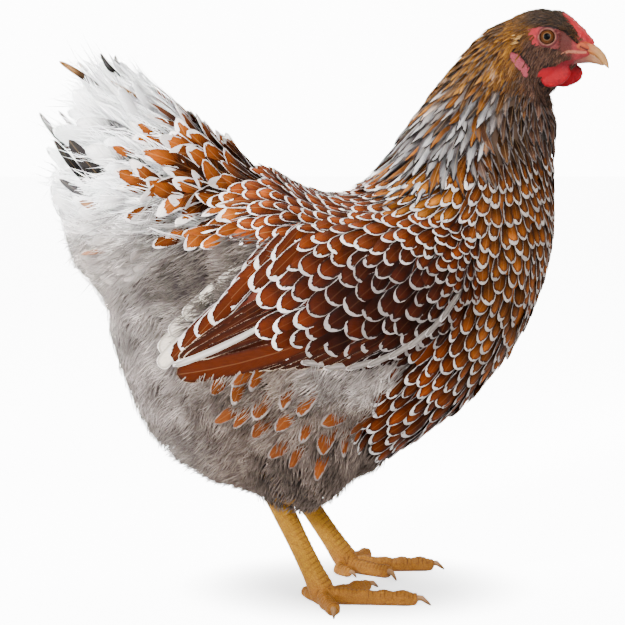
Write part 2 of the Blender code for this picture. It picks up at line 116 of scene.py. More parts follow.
def swung(points, sign):
    """Points carried round the head's upright axis, more the higher they are."""
    p = np.asarray(points, float).copy()
    t = ramp(p[..., 2], HEAD_TURN_START, HEAD_TURN_FULL)
    c, s = np.cos(HEAD_TURN * t), sign * np.sin(HEAD_TURN * t)
    dx, y = p[..., 0] - HEAD_PIVOT_X, p[..., 1].copy()
    p[..., 0] = HEAD_PIVOT_X + dx * c + y * s
    p[..., 1] = y * c - dx * s
    return p


def turned(points):
    """Points of the straight head, carried round with the head's turn."""
    return swung(points, 1)


def unturned(points):
    """The other way: points of the model in the head's own straight frame."""
    return swung(points, -1)


def inside(points, outline):
    """Which points lie inside a side-view outline given in millimetres."""
    x, z = points[:, 0] / MM, points[:, 2] / MM
    found = np.zeros(len(points), bool)
    for (x0, z0), (x1, z1) in zip(outline, outline[1:] + outline[:1]):
        if z0 == z1:
            continue
        crosses = ((z0 > z) != (z1 > z)) & (x < (x1 - x0) * (z - z0) / (z1 - z0) + x0)
        found ^= crosses
    return found


# ---------------------------------------------------------------- node trees

class Sock:
    """A node output that takes part in arithmetic; each operation adds its Math node."""

    def __init__(self, maker, socket, vector=False):
        self.maker, self.socket, self.vector = maker, socket, vector

    def _with(self, operation, other, swap=False):
        pair = (other, self) if swap else (self, other)
        vector = any(isinstance(s, Sock) and s.vector for s in pair)
        if vector:
            pair = [s if isinstance(s, Sock) or hasattr(s, "__len__") else (s,) * 3 for s in pair]
        kind = "ShaderNodeVectorMath" if vector else "ShaderNodeMath"
        node = self.maker.node(kind, {"operation": operation}, dict(enumerate(pair)))
        return Sock(self.maker, node.outputs[0], vector)

    def __add__(self, other):
        return self._with("ADD", other)

    def __sub__(self, other):
        return self._with("SUBTRACT", other)

    def __rsub__(self, other):
        return self._with("SUBTRACT", other, True)

    def __mul__(self, other):
        return self._with("MULTIPLY", other)

    def __abs__(self):
        return self._with("ABSOLUTE", 0.0)

    def least(self, other):
        return self._with("MINIMUM", other)

    __radd__, __rmul__ = __add__, __mul__


class Maker:
    """Adds nodes to one tree."""

    def __init__(self, tree):
        self.tree = tree

    def node(self, kind, settings=None, inputs=None):
        """A node of one type; settings are set first, then sockets get values or links."""
        made = self.tree.nodes.new(kind)
        for key, value in (settings or {}).items():
            setattr(made, key, value)
        for key, value in (inputs or {}).items():
            if isinstance(value, Sock):
                self.tree.links.new(value.socket, made.inputs[key])
            else:
                made.inputs[key].default_value = value
        return made

    def get(self, kind, output, settings=None, inputs=None, vector=False):
        """One output of a new node."""
        made = self.node(kind, settings, inputs)
        return Sock(self, made.outputs[output], vector)

    def attribute(self, name, output="Fac"):
        """A mesh attribute read by a material."""
        return self.get("ShaderNodeAttribute", output, {"attribute_name": name},
                        vector=output != "Fac")

    def field(self, name, kind="FLOAT"):
        """A mesh attribute read by a geometry tree."""
        return self.get("GeometryNodeInputNamedAttribute", "Attribute", {"data_type": kind},
                        {"Name": name}, vector=kind == "FLOAT_VECTOR")

    def split(self, vector):
        """The three parts of a vector."""
        made = self.node("ShaderNodeSeparateXYZ", None, {0: vector})
        return [Sock(self, s) for s in made.outputs]

    def join(self, x, y, z=0.0):
        """A vector of its parts."""
        return self.get("ShaderNodeCombineXYZ", 0, None, {0: x, 1: y, 2: z}, vector=True)

    def step(self, value, low, high):
        """Smooth step of a value from 0 at low to 1 at high."""
        return self.get("ShaderNodeMapRange", 0, {"interpolation_type": "SMOOTHSTEP"},
                        {0: value, 1: low, 2: high, 3: 0.0, 4: 1.0})

    def mix(self, a, b, share, how="MIX"):
        """Colour a turned into b by a share."""
        return self.get("ShaderNodeMix", 2, {"data_type": "RGBA", "blend_type": how},
                        {0: share, 6: rgba(a), 7: rgba(b)}, vector=True)

    def layered(self, colour, *layers):
        """A colour with others laid over it in turn, each given with its share."""
        for other, share in layers:
            colour = self.mix(colour, other, share)
        return colour

    def noise(self, at, scale, detail=2.0, rough=0.5):
        return self.get("ShaderNodeTexNoise", 0, None,
                        {"Vector": at, "Scale": scale, "Detail": detail, "Roughness": rough})

    def bump(self, height, strength, distance):
        return self.get("ShaderNodeBump", 0, None,
                        {"Height": height, "Strength": strength, "Distance": distance},
                        vector=True)


def rgba(colour):
    """A colour with its alpha."""
    if isinstance(colour, Sock) or len(colour) == 4:
        return colour
    return (*colour, 1.0)


def finish_of(name, build):
    """A material with one Principled BSDF, set up by build(maker, shader)."""
    material = bpy.data.materials.new(name)
    material.use_nodes = True
    tree = material.node_tree
    build(Maker(tree), tree.nodes["Principled BSDF"])
    return material


def feed(maker, shader, **sockets):
    """Link or set a shader's sockets by their names, with _ for a space."""
    for key, value in sockets.items():
        socket = shader.inputs[key.replace("_", " ")]
        if isinstance(value, Sock):
            maker.tree.links.new(value.socket, socket)
        else:
            socket.default_value = value


# ------------------------------------------------------------------- meshes

def arrays(mesh):
    """Vertices, vertex normals and triangles of a mesh."""
    mesh.calc_loop_triangles()

    def read(items, key, kind):
        out = np.empty(len(items) * 3, kind)
        items.foreach_get(key, out)
        return out.reshape(-1, 3)

    return (read(mesh.vertices, "co", np.float32).astype(float),
            read(mesh.vertices, "normal", np.float32).astype(float),
            read(mesh.loop_triangles, "vertices", np.int32))


def set_points(mesh, co):
    """Moves all of a mesh's vertices."""
    mesh.vertices.foreach_set("co", np.asarray(co, np.float32).ravel())
    mesh.update()


def set_attribute(mesh, name, kind, values):
    """Gives a mesh an attribute with one value for each vertex."""
    made = mesh.attributes.new(name, kind, "POINT")
    key = {"FLOAT": "value", "FLOAT_VECTOR": "vector", "FLOAT_COLOR": "color"}[kind]
    values = np.asarray(values, np.float32)
    if kind == "FLOAT_COLOR" and values.shape[-1] == 3:
        values = np.concatenate([values, np.ones(values.shape[:-1] + (1,))], -1)
    made.data.foreach_set(key, values.astype(np.float32).ravel())


def show(name, mesh):
    """An object of the mesh in the scene."""
    obj = bpy.data.objects.new(name, mesh)
    bpy.context.scene.collection.objects.link(obj)
    return obj


def piece(name, mesh, replaced=()):
    """A finished piece on the body and the nodes it stands for."""
    mesh.name = name
    made = show(name, mesh)
    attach(made, "root")
    if replaced:
        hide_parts(*replaced)


def baked(obj):
    """The object's evaluated mesh; the object itself goes."""
    depsgraph = bpy.context.evaluated_depsgraph_get()
    mesh = bpy.data.meshes.new_from_object(obj.evaluated_get(depsgraph))
    bpy.data.objects.remove(obj)
    return mesh


def merged_nodes(names, grow, keep_above=None):
    """Copies of CAD nodes with their triangles merged, grown a little and joined.

    keep_above gives, for a node's name, the height that the node is cut off at.
    """
    whole = bpy.data.meshes.new("merged")
    out = bmesh.new()
    for name in names:
        bm = bmesh.new()
        bm.from_mesh(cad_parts[name].data)
        bmesh.ops.remove_doubles(bm, verts=bm.verts, dist=1e-6)
        bm.normal_update()
        for vert in bm.verts:
            vert.co += vert.normal * grow
        if name in (keep_above or {}):
            cut = bmesh.ops.bisect_plane(bm, geom=bm.verts[:] + bm.edges[:] + bm.faces[:],
                                         plane_co=(0, 0, keep_above[name]),
                                         plane_no=(0, 0, 1), clear_inner=True)
            edges = [e for e in cut["geom_cut"] if isinstance(e, bmesh.types.BMEdge)]
            bmesh.ops.holes_fill(bm, edges=edges)
        part = bpy.data.meshes.new("part")
        bm.to_mesh(part)
        bm.free()
        out.from_mesh(part)
        bpy.data.meshes.remove(part)
    out.to_mesh(whole)
    out.free()
    return whole


def remeshed(mesh, size, rounds):
    """One closed surface around a mesh, smoothed a few rounds."""
    obj = show("remesh", mesh)
    remesh = obj.modifiers.new("Remesh", "REMESH")
    remesh.mode, remesh.voxel_size = "VOXEL", size
    smooth = obj.modifiers.new("Smooth", "SMOOTH")
    smooth.factor, smooth.iterations = 0.5, rounds
    return baked(obj)


class Surface:
    """A closed surface that feathers are laid on."""

    def __init__(self, mesh):
        self.co, self.no, self.tri = arrays(mesh)
        self.tree = BVHTree.FromPolygons(self.co.tolist(), self.tri.tolist())
        a, b, c = (self.co[self.tri[:, i]] for i in range(3))
        self.area = np.linalg.norm(np.cross(b - a, c - a), axis=1) / 2

    def near(self, points):
        """The nearest places on the surface and their smooth normals."""
        find = self.tree.find_nearest
        hits = [find(p) for p in points.tolist()]
        at = np.array([h[0] for h in hits])
        corners = self.tri[[h[2] for h in hits]]
        weight = 1 / (np.linalg.norm(self.co[corners] - at[:, None], axis=2) + 1e-5)
        no = (self.no[corners] * weight[..., None]).sum(1)
        return at, unit(no)

    def scattered(self, count, keep, rng):
        """Random places spread evenly over the triangles whose middles keep() takes."""
        area = self.area * keep(self.co[self.tri].mean(1))
        pick = rng.choice(len(area), count, p=area / area.sum())
        w = np.sqrt(rng.random(count))[:, None]
        v = rng.random(count)[:, None]
        a, b, c = (self.co[self.tri[pick, i]] for i in range(3))
        at = a * (1 - w) + b * (w * (1 - v)) + c * (w * v)
        return at, unit(self.no[self.tri[pick]].mean(1))

    def side(self, x, z, hand):
        """Where sideways rays from outside meet the surface at x, z."""
        out = []
        for px, pz in zip(np.atleast_1d(x), np.atleast_1d(z)):
            hit = self.tree.ray_cast(Vector((px, hand * 0.4, pz)), Vector((0, -hand, 0)))[0]
            out.append(hit if hit is not None else (px, hand * 0.04, pz))
        return np.array(out, float)


# Surfaces that feathers are laid on: their nodes, how far these are grown, the mesh's
# size and rounds of smoothing, and where nodes are cut off.
SURFACES = {
    "coat": (COATED, 0.4, 2.4, 8, None),
    "neck": (["head", "neck", "trunk"], 0.4, 1.9, 3, None),
    "head": (["head", "neck", "comb"], 0.3, 1.2, 3, {"neck": 0.300}),
}


@functools.lru_cache(maxsize=None)
def shell(which="coat"):
    """One smooth form over some feathered solids, the coat's outer surface."""
    nodes, grow, size, rounds, keep_above = SURFACES[which]
    mesh = remeshed(merged_nodes(nodes, grow * MM, keep_above), size * MM, rounds)
    made = Surface(mesh)
    bpy.data.meshes.remove(mesh)
    return made


@functools.lru_cache(maxsize=None)
def node_trees():
    """For each coated node its own search tree, to tell which node a place is on."""
    out = {}
    for name in COATED:
        co, _, tri = arrays(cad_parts[name].data)
        out[name] = BVHTree.FromPolygons(co.tolist(), tri.tolist())
    return out


def owners(points):
    """The name of the coated node that each point is nearest to."""
    trees = node_trees().values()
    far = np.array([[tree.find_nearest(p)[3] or 0 for tree in trees] for p in points.tolist()])
    return np.array(COATED)[far.argmin(1)]


def is_wing(owner):
    """Which owners are wings."""
    return np.char.startswith(owner, "wing")


# ------------------------------------------------- the lie and size of the coat

# Side-view places in millimetres with the way feathers point there (x, z), their
# width and the length of each that its neighbours leave bare.
BODY_LIE = np.array([
    (148, 380, -0.95, 0.1, 2.2, 2.6), (125, 376, -0.9, -0.3, 2.4, 3.2),
    (105, 365, -0.75, -0.65, 2.8, 4.6), (85, 340, -0.52, -0.85, 4.2, 8),
    (66, 312, -0.5, -0.86, 5.8, 14), (44, 284, -0.66, -0.75, 6.6, 17),
    (118, 345, -0.42, -0.9, 3.2, 5.5), (103, 320, -0.34, -0.94, 5, 11.5),
    (92, 290, -0.28, -0.96, 6.4, 16), (80, 264, -0.28, -0.96, 7, 17),
    (62, 285, -0.42, -0.91, 6.8, 17), (48, 266, -0.62, -0.78, 7.2, 15),
    (118, 290, -0.15, -0.99, 6, 11), (135, 345, -0.4, -0.92, 1.8, 2.6),
    (160, 345, -0.55, -0.83, 1.6, 2.2), (150, 322, -0.05, -1, 3, 5), (145, 300, 0.08, -1, 4.2, 7),
    (146, 270, 0.02, -1, 5.5, 8.5), (148, 235, -0.05, -1, 7, 9), (144, 200, -0.16, -0.98, 8.5, 9),
    (130, 165, -0.42, -0.9, 10, 9.5), (105, 135, -0.66, -0.75, 11.5, 10),
    (78, 112, -0.8, -0.6, 12, 10.5), (48, 95, -0.9, -0.43, 12, 11),
    (115, 250, -0.1, -0.99, 8.5, 9.5), (110, 215, -0.16, -0.98, 9.5, 9),
    (100, 180, -0.3, -0.95, 10, 9), (80, 150, -0.62, -0.78, 11, 9.5),
    (85, 250, -0.35, -0.93, 9, 8), (60, 258, -0.85, -0.5, 9, 7.5), (30, 262, -0.98, -0.15, 9, 7),
    (0, 262, -1, 0.05, 9, 7), (-30, 266, -0.97, 0.22, 10, 8), (-52, 278, -0.9, 0.42, 11, 9.5),
    (20, 246, -0.9, -0.3, 9.5, 7.5), (-20, 246, -0.97, -0.05, 11, 9),
    (-80, 292, -0.84, 0.54, 12, 15), (-112, 312, -0.84, 0.54, 14, 20),
    (-100, 272, -0.99, 0.1, 14, 19), (-90, 246, -0.93, -0.36, 13, 17),
    (-150, 340, -0.72, 0.7, 14, 18), (-165, 300, -0.92, 0.32, 14, 18),
    (-160, 262, -0.99, 0.05, 13, 18), (-150, 228, -0.93, -0.36, 12, 16),
    (-140, 195, -0.75, -0.66, 10, 12), (-130, 160, -0.6, -0.8, 10, 12),
    (-100, 110, -0.62, -0.78, 10, 12), (-60, 78, -0.62, -0.78, 10, 12),
    (-100, 205, -0.85, -0.52, 10, 12), (-60, 215, -0.9, -0.4, 10, 12),
    (0, 122, -0.58, -0.81, 11, 12), (-40, 120, -0.52, -0.85, 11, 12),
    (22, 140, -0.62, -0.78, 11, 12), (-50, 160, -0.72, -0.7, 11, 12),
    (0, 155, -0.8, -0.6, 11, 12), (-12, 100, -0.45, -0.9, 9, 10), (-22, 75, -0.3, -0.95, 6, 7),
])
HACKLE_LIE = np.array([
    (125, 376, -0.9, -0.3, 2.4, 3.2), (105, 365, -0.75, -0.65, 3, 5),
    (85, 340, -0.6, -0.8, 4.4, 9), (66, 312, -0.56, -0.83, 5.6, 13.5),
    (42, 288, -0.58, -0.81, 6.4, 17), (26, 274, -0.74, -0.67, 6.4, 15),
    (118, 345, -0.42, -0.9, 3.2, 6), (103, 320, -0.34, -0.94, 4.6, 11.5),
    (86, 295, -0.26, -0.96, 6, 16), (62, 290, -0.36, -0.93, 6.4, 17),
    (56, 268, -0.12, -0.99, 7, 18), (80, 264, 0.02, -1, 7, 18), (92, 256, 0.1, -1, 7, 16),
    (114, 290, -0.05, -1, 6.2, 13), (113, 268, 0.12, -0.99, 6.8, 13),
    (135, 345, -0.4, -0.92, 2.4, 4), (138, 318, -0.1, -1, 4, 8), (138, 290, 0.05, -1, 5, 9),
    (146, 300, 0.08, -1, 4.4, 8), (44, 262, -0.4, -0.92, 7, 16),
])
WING_LIE = np.array([
    (84, 238, -0.5, -0.87, 7, 6.5), (90, 205, -0.35, -0.94, 6, 6.5),
    (62, 242, -0.66, -0.75, 9, 8), (70, 215, -0.5, -0.87, 8, 8),
    (76, 182, -0.62, -0.78, 6.5, 7.5), (58, 176, -0.7, -0.7, 8, 9),
    (32, 238, -0.74, -0.67, 12, 11), (40, 205, -0.62, -0.78, 13, 12),
    (38, 178, -0.72, -0.7, 13, 12), (20, 163, -0.88, -0.45, 12, 12),
    (2, 232, -0.78, -0.62, 13, 12), (8, 205, -0.76, -0.65, 16, 13),
    (4, 180, -0.84, -0.54, 17, 14), (-26, 222, -0.78, -0.62, 13, 13),
    (-30, 195, -0.82, -0.57, 15, 14), (-34, 172, -0.9, -0.43, 14, 14),
])
SPREAD = 0.14               # how much feathers part sideways from the back's middle
NECK_BASE = np.array((0.095, 0.0, 0.300))
SHOULDER = np.array((0.100, 0.0, 0.236))

# Side-view outlines, in millimetres, of the fields of each kind of plumage.
LACED_FIELD = [(38, 168), (40, 150), (24, 130), (10, 106), (30, 84), (200, 60),
               (200, 330), (-70, 330), (-70, 240), (-45, 232), (-20, 230), (38, 200)]
COVERT_FIELD = [(-70, 330), (-66, 236), (-92, 222), (-118, 236), (-134, 262), (-138, 292),
                (-136, 318), (-118, 345)]
WING_COVERTS = [(-30, 244), (-36, 224), (-46, 219), (-38, 211), (-49, 203), (-41, 198),
                (-50, 192), (-44, 179), (-33, 168), (-13, 159), (8, 156), (24, 158),
                (42, 165), (58, 174), (71, 186), (84, 199), (110, 213), (110, 270),
                (-30, 270)]
RUSTY_FLUFF = [(-84, 162), (-58, 158), (-40, 142), (-20, 132), (0, 122), (16, 116),
               (12, 100), (-8, 92), (-34, 94), (-60, 114), (-84, 134)]

# The same on the straight head: bare skin of the face, and the hanging wattle.
BARE_FACE = [(137, 370.5), (143.4, 372), (151.5, 371.3), (155.5, 370.2), (159, 368.7),
             (163.9, 363.8), (167, 360.8), (168.6, 361.8), (165.5, 366), (162, 372.3),
             (155.2, 381.6), (150, 390), (190, 390), (190, 330), (163, 330), (161.5, 351.5),
             (157, 354.4), (155.8, 357.6), (151, 358.3), (144, 358.6), (140, 360.6),
             (137, 366)]
WATTLE = [(142.5, 341), (147, 334.5), (152, 331), (160, 336), (164, 344), (164.5, 351),
          (160, 350.5), (154.5, 347), (146, 345.2)]
EAR_TUFT = [(123.6, 362), (124.4, 365.6), (127.4, 367), (131, 365.8), (131.8, 362.8),
            (128.6, 359.6), (125, 360)]
EAR_LOBE = [(126, 356), (131, 354.6), (139.4, 344.4), (137, 338.6), (132, 345.4),
            (127, 350)]


def gap_to(points, line):
    """Side-view distance in millimetres from points to a line of places."""
    p = points[:, (0, 2)] / MM
    line = np.asarray(line, float)
    a, step = line[:-1], np.diff(line, axis=0)
    t = np.clip(((p[:, None] - a) * step).sum(-1) / (step ** 2).sum(-1), 0, 1)
    return np.linalg.norm(p[:, None] - a - t[..., None] * step, axis=2).min(1)


def table_at(points, table, reach=16.0):
    """The table's rows blended at each point by nearness in side view."""
    d2 = ((points[:, None, (0, 2)] / MM - table[None, :, :2]) ** 2).sum(-1)
    weight = 1 / (d2 + reach ** 2) ** 2
    return (weight[..., None] * table[None, :, 2:]).sum(1) / weight.sum(1)[:, None]


def lie_at(points, normals, table=BODY_LIE):
    """The way the coat lies at places of the surface, in its tangent plane."""
    row = table_at(points, table)
    hand = np.clip(points[:, 1] / 0.03, -1, 1)
    way = np.stack([row[:, 0], SPREAD * hand, row[:, 1]], 1)
    return unit(way - normals * dot(way, normals))


def coat_depth(points, owner):
    """How deep the skin lies under the coat's surface."""
    x, z = points[:, 0] / MM, points[:, 2] / MM
    laced = inside(points, LACED_FIELD)
    front = ramp(x, 95, 122)
    depth = np.where(laced, 5.6 - 2.8 * front, 20.0)
    low = 3.5 * (1 - ramp(z, 262, 350))
    depth = np.where(owner == "neck", 3.5 - 1.4 * front + low * (1 - 0.9 * front), depth)
    depth = np.where(owner == "head", 1.6, depth)
    depth = np.where(owner == "tail", 26.0, depth)
    depth = np.where(is_wing(owner), 4.5, depth)
    depth = np.where(np.char.startswith(owner, "thigh"), 3.0 + 12.0 * ramp(z, 72, 105), depth)
    return depth * MM


def ground_colours(points, owner):
    """The colour of the coat's ground and of its lacing at each place."""
    x, z = points[:, 0] / MM, points[:, 2] / MM
    wing = is_wing(owner)
    covert = inside(points, COVERT_FIELD)
    # deep is the hollow below the tail coverts, where painted shade darkens the down and the pale
    # tail.
    deep = ramp(z, 165, 200) * (1 - ramp(z, 240, 262)) * ramp(x, -142, -108)
    # Rust goes over into the breast's colour forward; the gold on top of the back is partly the
    # hen's own gold and partly a painted highlight from the light above.
    ground = layered(
        RUST, (BREAST, ramp(x, 60, 110)),
        (GOLD, 0.6 * ramp(x, 20, 45) * ramp(z, 243, 252) * (1 - ramp(x, 66, 90))))
    smoke = layered(
        SMOKE, (PALE_SMOKE, ramp(-x, 55, 140)),
        ((0.31, 0.275, 0.255), 0.5 * ramp(x, -36, -4) * ramp(z, 120, 140)), (HOLLOW_SHADE, 0.85 * deep))
    dark = layered(
        MAHOGANY, (WINE, 0.9 * ramp(-x, 0, 30)), (RUST, 0.85 * ramp(z, 212, 250)),
        (RUST, 0.5 * ramp(x, 55, 85)))
    for place, colour in (
            (covert, blend(RUST, GOLD, 0.10)),
            (~(inside(points, LACED_FIELD) | covert | wing), smoke),
            ((owner == "tail") & ~covert,
             layered(PALE_SMOKE, (TAIL_WHITE, ramp(z, 225, 285)), (HOLLOW_SHADE, 0.8 * deep))),
            (wing, dark),
            (((owner == "neck") & (z > 270)) | (owner == "head"),
             blend((0.060, 0.035, 0.022), (0.030, 0.024, 0.021), ramp(x, 120, 145)))):
        ground = np.where(place[:, None], colour, ground)
    # The lace on the lower front of the wing is greyed: painted shade.
    painted_wing_shade = ramp(x, -32, -10) * (1 - ramp(z, 218, 240)) * wing
    return ground, layered(LACE, (LACE_GREY, ramp(x, 62, 112)), (LACE_IN_PAINTED_SHADE, 0.9 * painted_wing_shade))


# --------------------------------------------------------------------- skin

EYE = np.array((148.4, 11.0, 364.9)) * MM
EYE_RADIUS = 7.4 * MM
EYE_AXIS = unit(np.array((0.20, 1.0, 0.11)))
COMB_POINTS = 110
NECK_CUT = 0.318            # height at which the head's skin goes over into the body's
LEG_POINTS = {
    "right": {"hock": (-31.1, -44.5, 69), "ankle": (-2.6, -44, 9), "toes": {
        1: ((-9.6, -34), (-12.6, -26)), 2: ((11.4, -30), (25.4, -15)),
        3: ((25.4, -45.5), (53.4, -48)), 4: ((0.9, -60), (4.4, -73))}},
    "left": {"hock": (-26.1, 44.5, 69), "ankle": (13.9, 44, 9), "toes": {
        1: ((9.4, 34), (15.4, 27)), 2: ((28.4, 33), (41.4, 25)),
        3: ((41.4, 44), (69.4, 44.5)), 4: ((21.4, 60), (28.4, 74))}},
}


def add_ring(bm, centre, axis, radii, tube, turns=44, corners=8):
    """A closed ring round an axis, as a lid or a fold of skin."""
    axis = unit(axis)
    along = unit(np.cross((0, 0, 1.0), axis))
    up = np.cross(axis, along)
    rings = []
    for i in range(turns):
        a = math.tau * i / turns
        out = along * math.cos(a) * radii[0] + up * math.sin(a) * radii[1]
        way = unit(out)
        at = centre + out
        rings.append([bm.verts.new(at + way * math.cos(b) * tube + axis * math.sin(b) * tube)
                      for b in (math.tau * k / corners for k in range(corners))])
    for one, two in zip(rings, rings[1:] + rings[:1]):
        for k in range(corners):
            after = (k + 1) % corners
            bm.faces.new((one[k], two[k], two[after], one[after]))


def add_ball(bm, centre, radii, tilt=0.0, segments=14):
    """A rounded lump, its length tilted in side view."""
    made = bmesh.ops.create_uvsphere(bm, u_segments=segments, v_segments=8, radius=1.0)
    c, s = math.cos(tilt), math.sin(tilt)
    for vert in made["verts"]:
        x, y, z = (v * r for v, r in zip(vert.co, radii))
        vert.co = Vector(centre) + Vector((x * c - z * s, y, x * s + z * c))


def head_form():
    """Head, comb and hanging skin with lids, folds, papillae and nostril flaps."""
    extra = bmesh.new()
    for _, hand in SIDES:
        flip = np.array((1, hand, 1))
        axis = EYE_AXIS * flip
        eye = EYE * flip
        add_ring(extra, eye + axis * 5.35 * MM, axis, (5.6 * MM, 5.15 * MM), 0.8 * MM)
        add_ring(extra, eye + axis * 4.5 * MM, axis, (7.6 * MM, 7.0 * MM), 0.8 * MM)
        add_ball(extra, np.array((171.2, hand * 5.9, 359.8)) * MM,
                 np.array((4.4, 1.6, 1.6)) * MM, -0.55)
        for k, r in enumerate((1.1, 1.2, 1.15, 1.0)):
            add_ball(extra, np.array((155.4 + 2.2 * k, hand * (10.6 - 0.9 * k),
                                      353.2 + 0.75 * k)) * MM,
                     np.array((1.7, r, r * 0.8)) * MM, 0.3)
        for k in range(9):
            a = math.radians(-150 + 24 * k)
            add_ball(extra, eye + np.array((9.9 * math.cos(a), hand * 4.6,
                                            8.9 * math.sin(a))) * MM,
                     np.array((1.5, 0.9, 1.0)) * MM, a)
    rng = np.random.default_rng(7)
    co, _, tri = arrays(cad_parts["comb"].data)
    pick = rng.choice(len(tri), COMB_POINTS)
    for spot in unturned(co[tri[pick]].mean(1)):
        r = rng.uniform(0.75, 1.25) * MM
        add_ball(extra, spot, (r, r, r), segments=8)
    for vert in extra.verts:
        vert.co = Vector(turned(np.array(vert.co)))
    whole = merged_nodes(["head", "neck"] + HEAD_TRIM, 0.35 * MM, {"neck": NECK_CUT})
    extra.from_mesh(whole)
    extra.to_mesh(whole)
    extra.free()
    mesh = remeshed(whole, 0.72 * MM, 3)
    co, no, _ = arrays(mesh)
    local = unturned(co)
    x, z = local[:, 0] / MM, local[:, 2] / MM
    face = ramp(x - 0.45 * (z - 350), 110, 122) * ramp(z + 0.30 * (x - 140), 319, 330)
    depth = 4.0 * (1 - face) + 1.1 * ramp(z, 372, 377) * (1 - ramp(x, 146, 153))
    lobe = inside(local, EAR_LOBE) & (np.abs(local[:, 1]) > 0.013)
    depth += 0.35 * ~(inside(local, BARE_FACE) | inside(local, WATTLE) | lobe)
    rest = np.sin(x * 4.1 + np.sin(z * 2.3) * 1.7) * np.sin(z * 3.7 + np.sin(x * 1.9) * 2.1)
    bare = ramp(x, 134, 140)
    low = 1 - ramp(co[:, 2] / MM, NECK_CUT / MM + 0.5, 328)
    middle = co[low > 0.9].mean(0)
    co = co - no * ((depth + 0.10 * rest * bare) * MM)[:, None]
    co[:, :2] = middle[:2] + (co[:, :2] - middle[:2]) * (1 - 0.4 * low)[:, None]
    set_points(mesh, co)
    return mesh


def leg_scales(co):
    """Height of scutes and pads of the legs in millimetres, and how deep grooves lie."""
    lift, groove = np.zeros(len(co)), np.zeros(len(co))
    for word, hand in SIDES:
        leg = LEG_POINTS[word]
        ankle = np.array(leg["ankle"]) * MM
        bones = [(np.array(leg["hock"]) * MM, ankle, (1, 0, 0.35), 3.6, 0.0)]
        for mid, ball in leg["toes"].values():
            mid, ball = (np.array((*p, 4.5)) * MM for p in (mid, ball))
            low = ankle * (1, 1, 0) + (0, 0, 5.5 * MM)
            bones.append((low, mid, (0, 0, 1), 2.8, 0.35))
            bones.append((mid, ball + (ball - mid) * 0.3, (0, 0, 1), 2.6, 0.55))
        best = np.where(co[:, 1] * hand > 0, 1.0, -1.0)
        for a, b, front, pitch, knob in bones:
            way = b - a
            length = np.linalg.norm(way)
            way = way / length
            s = np.clip((co - a) @ way, 0, length)
            out = co - (a + s[:, None] * way)
            far = np.linalg.norm(out, axis=1)
            facing = ramp(unit(out) @ unit(np.array(front, float)), 0.0, 0.45)
            t = (s / MM / pitch) % 1.0
            plate = (0.50 * t ** 0.6 - 0.50 * ramp(t, 0.84, 1.0)) * facing
            pads = knob * np.cos(math.tau * (s / length - 1.0) * max(1, round(length / 0.014)))
            lift = np.where(far < best, plate + pads, lift)
            groove = np.where(far < best, facing * ramp(np.abs(t - 0.5), 0.36, 0.5), groove)
            best = np.where(far < best, far, best)
    return lift, groove


def leg_form():
    """Shanks and toes with overlapping scutes down their fronts and small scales behind."""
    mesh = remeshed(merged_nodes(FEET, 0.3 * MM), 0.70 * MM, 4)
    co, no, _ = arrays(mesh)
    lift, _ = leg_scales(co)
    x, y, z = (co / MM).T
    grain = 0.16 * np.sin(x * 2.6 + np.sin(z * 2.1)) * np.sin(z * 2.9 + np.sin(y * 2.3))
    lift = (lift + grain) * ramp(z, 0.6, 2.5)
    co = co + no * (lift * MM)[:, None]
    co[:, 2] = np.maximum(co[:, 2], 0.0)
    set_points(mesh, co)
    return mesh


def body_form():
    """The body under the coat: the coat's surface drawn in by the coat's depth."""
    mesh = remeshed(merged_nodes(COATED, 0.4 * MM), 2.6 * MM, 6)
    co, no, tri = arrays(mesh)
    depth = coat_depth(co, owners(co))
    tree = BVHTree.FromPolygons(co.tolist(), tri.tolist())
    room = np.zeros(len(co))
    for i, (p, n) in enumerate(zip(co, no)):
        hit = tree.ray_cast(Vector(p - n * 1e-4), Vector(-n))
        room[i] = 0.33 * hit[3] if hit[0] is not None else 0.0
    depth = np.minimum(depth, room)
    edges = np.array([tuple(e.vertices) for e in mesh.edges])
    for _ in range(12):
        total, count = np.zeros(len(co)), np.zeros(len(co))
        for a, b in ((0, 1), (1, 0)):
            np.add.at(total, edges[:, a], depth[edges[:, b]])
            np.add.at(count, edges[:, a], 1)
        depth = np.minimum(0.4 * depth + 0.6 * total / count, room)
    head = ramp(co[:, 2] / MM, 326, 338) * 2.4 * MM
    set_points(mesh, co - no * (depth + head)[:, None])
    return remeshed(mesh, 2.4 * MM, 6)


def united(meshes):
    """One closed mesh from several that overlap."""
    obj = show("united", meshes[0])
    others = [show("operand", m) for m in meshes[1:]]
    for other in others:
        cut = obj.modifiers.new("Union", "BOOLEAN")
        cut.operation, cut.solver, cut.object = "UNION", "MANIFOLD", other
    mesh = baked(obj)
    for other in others:
        bpy.data.objects.remove(other)
    return mesh


FACE_RED = (0.30, 0.016, 0.022)
FACE_MAUVE = (0.150, 0.030, 0.029)
FACE_DUSK = (0.080, 0.019, 0.015)
WATTLE_RED = (0.27, 0.003, 0.008)
COMB_RED = (0.34, 0.012, 0.017)
LID_PALE = (0.19, 0.095, 0.060)
LOBE_PINK = (0.21, 0.033, 0.042)
LEG_OCHRE = (0.400, 0.185, 0.010)


def eye_gap(local):
    """Distance in millimetres from the gaze line of the nearer eye, on the straight head."""
    p = local * np.where(local[:, 1:2] < 0, np.array((1, -1, 1.0)), 1.0) - EYE
    along = p @ EYE_AXIS
    return np.linalg.norm(p - along[:, None] * EYE_AXIS, axis=1) / MM + 99.0 * (along < 0)


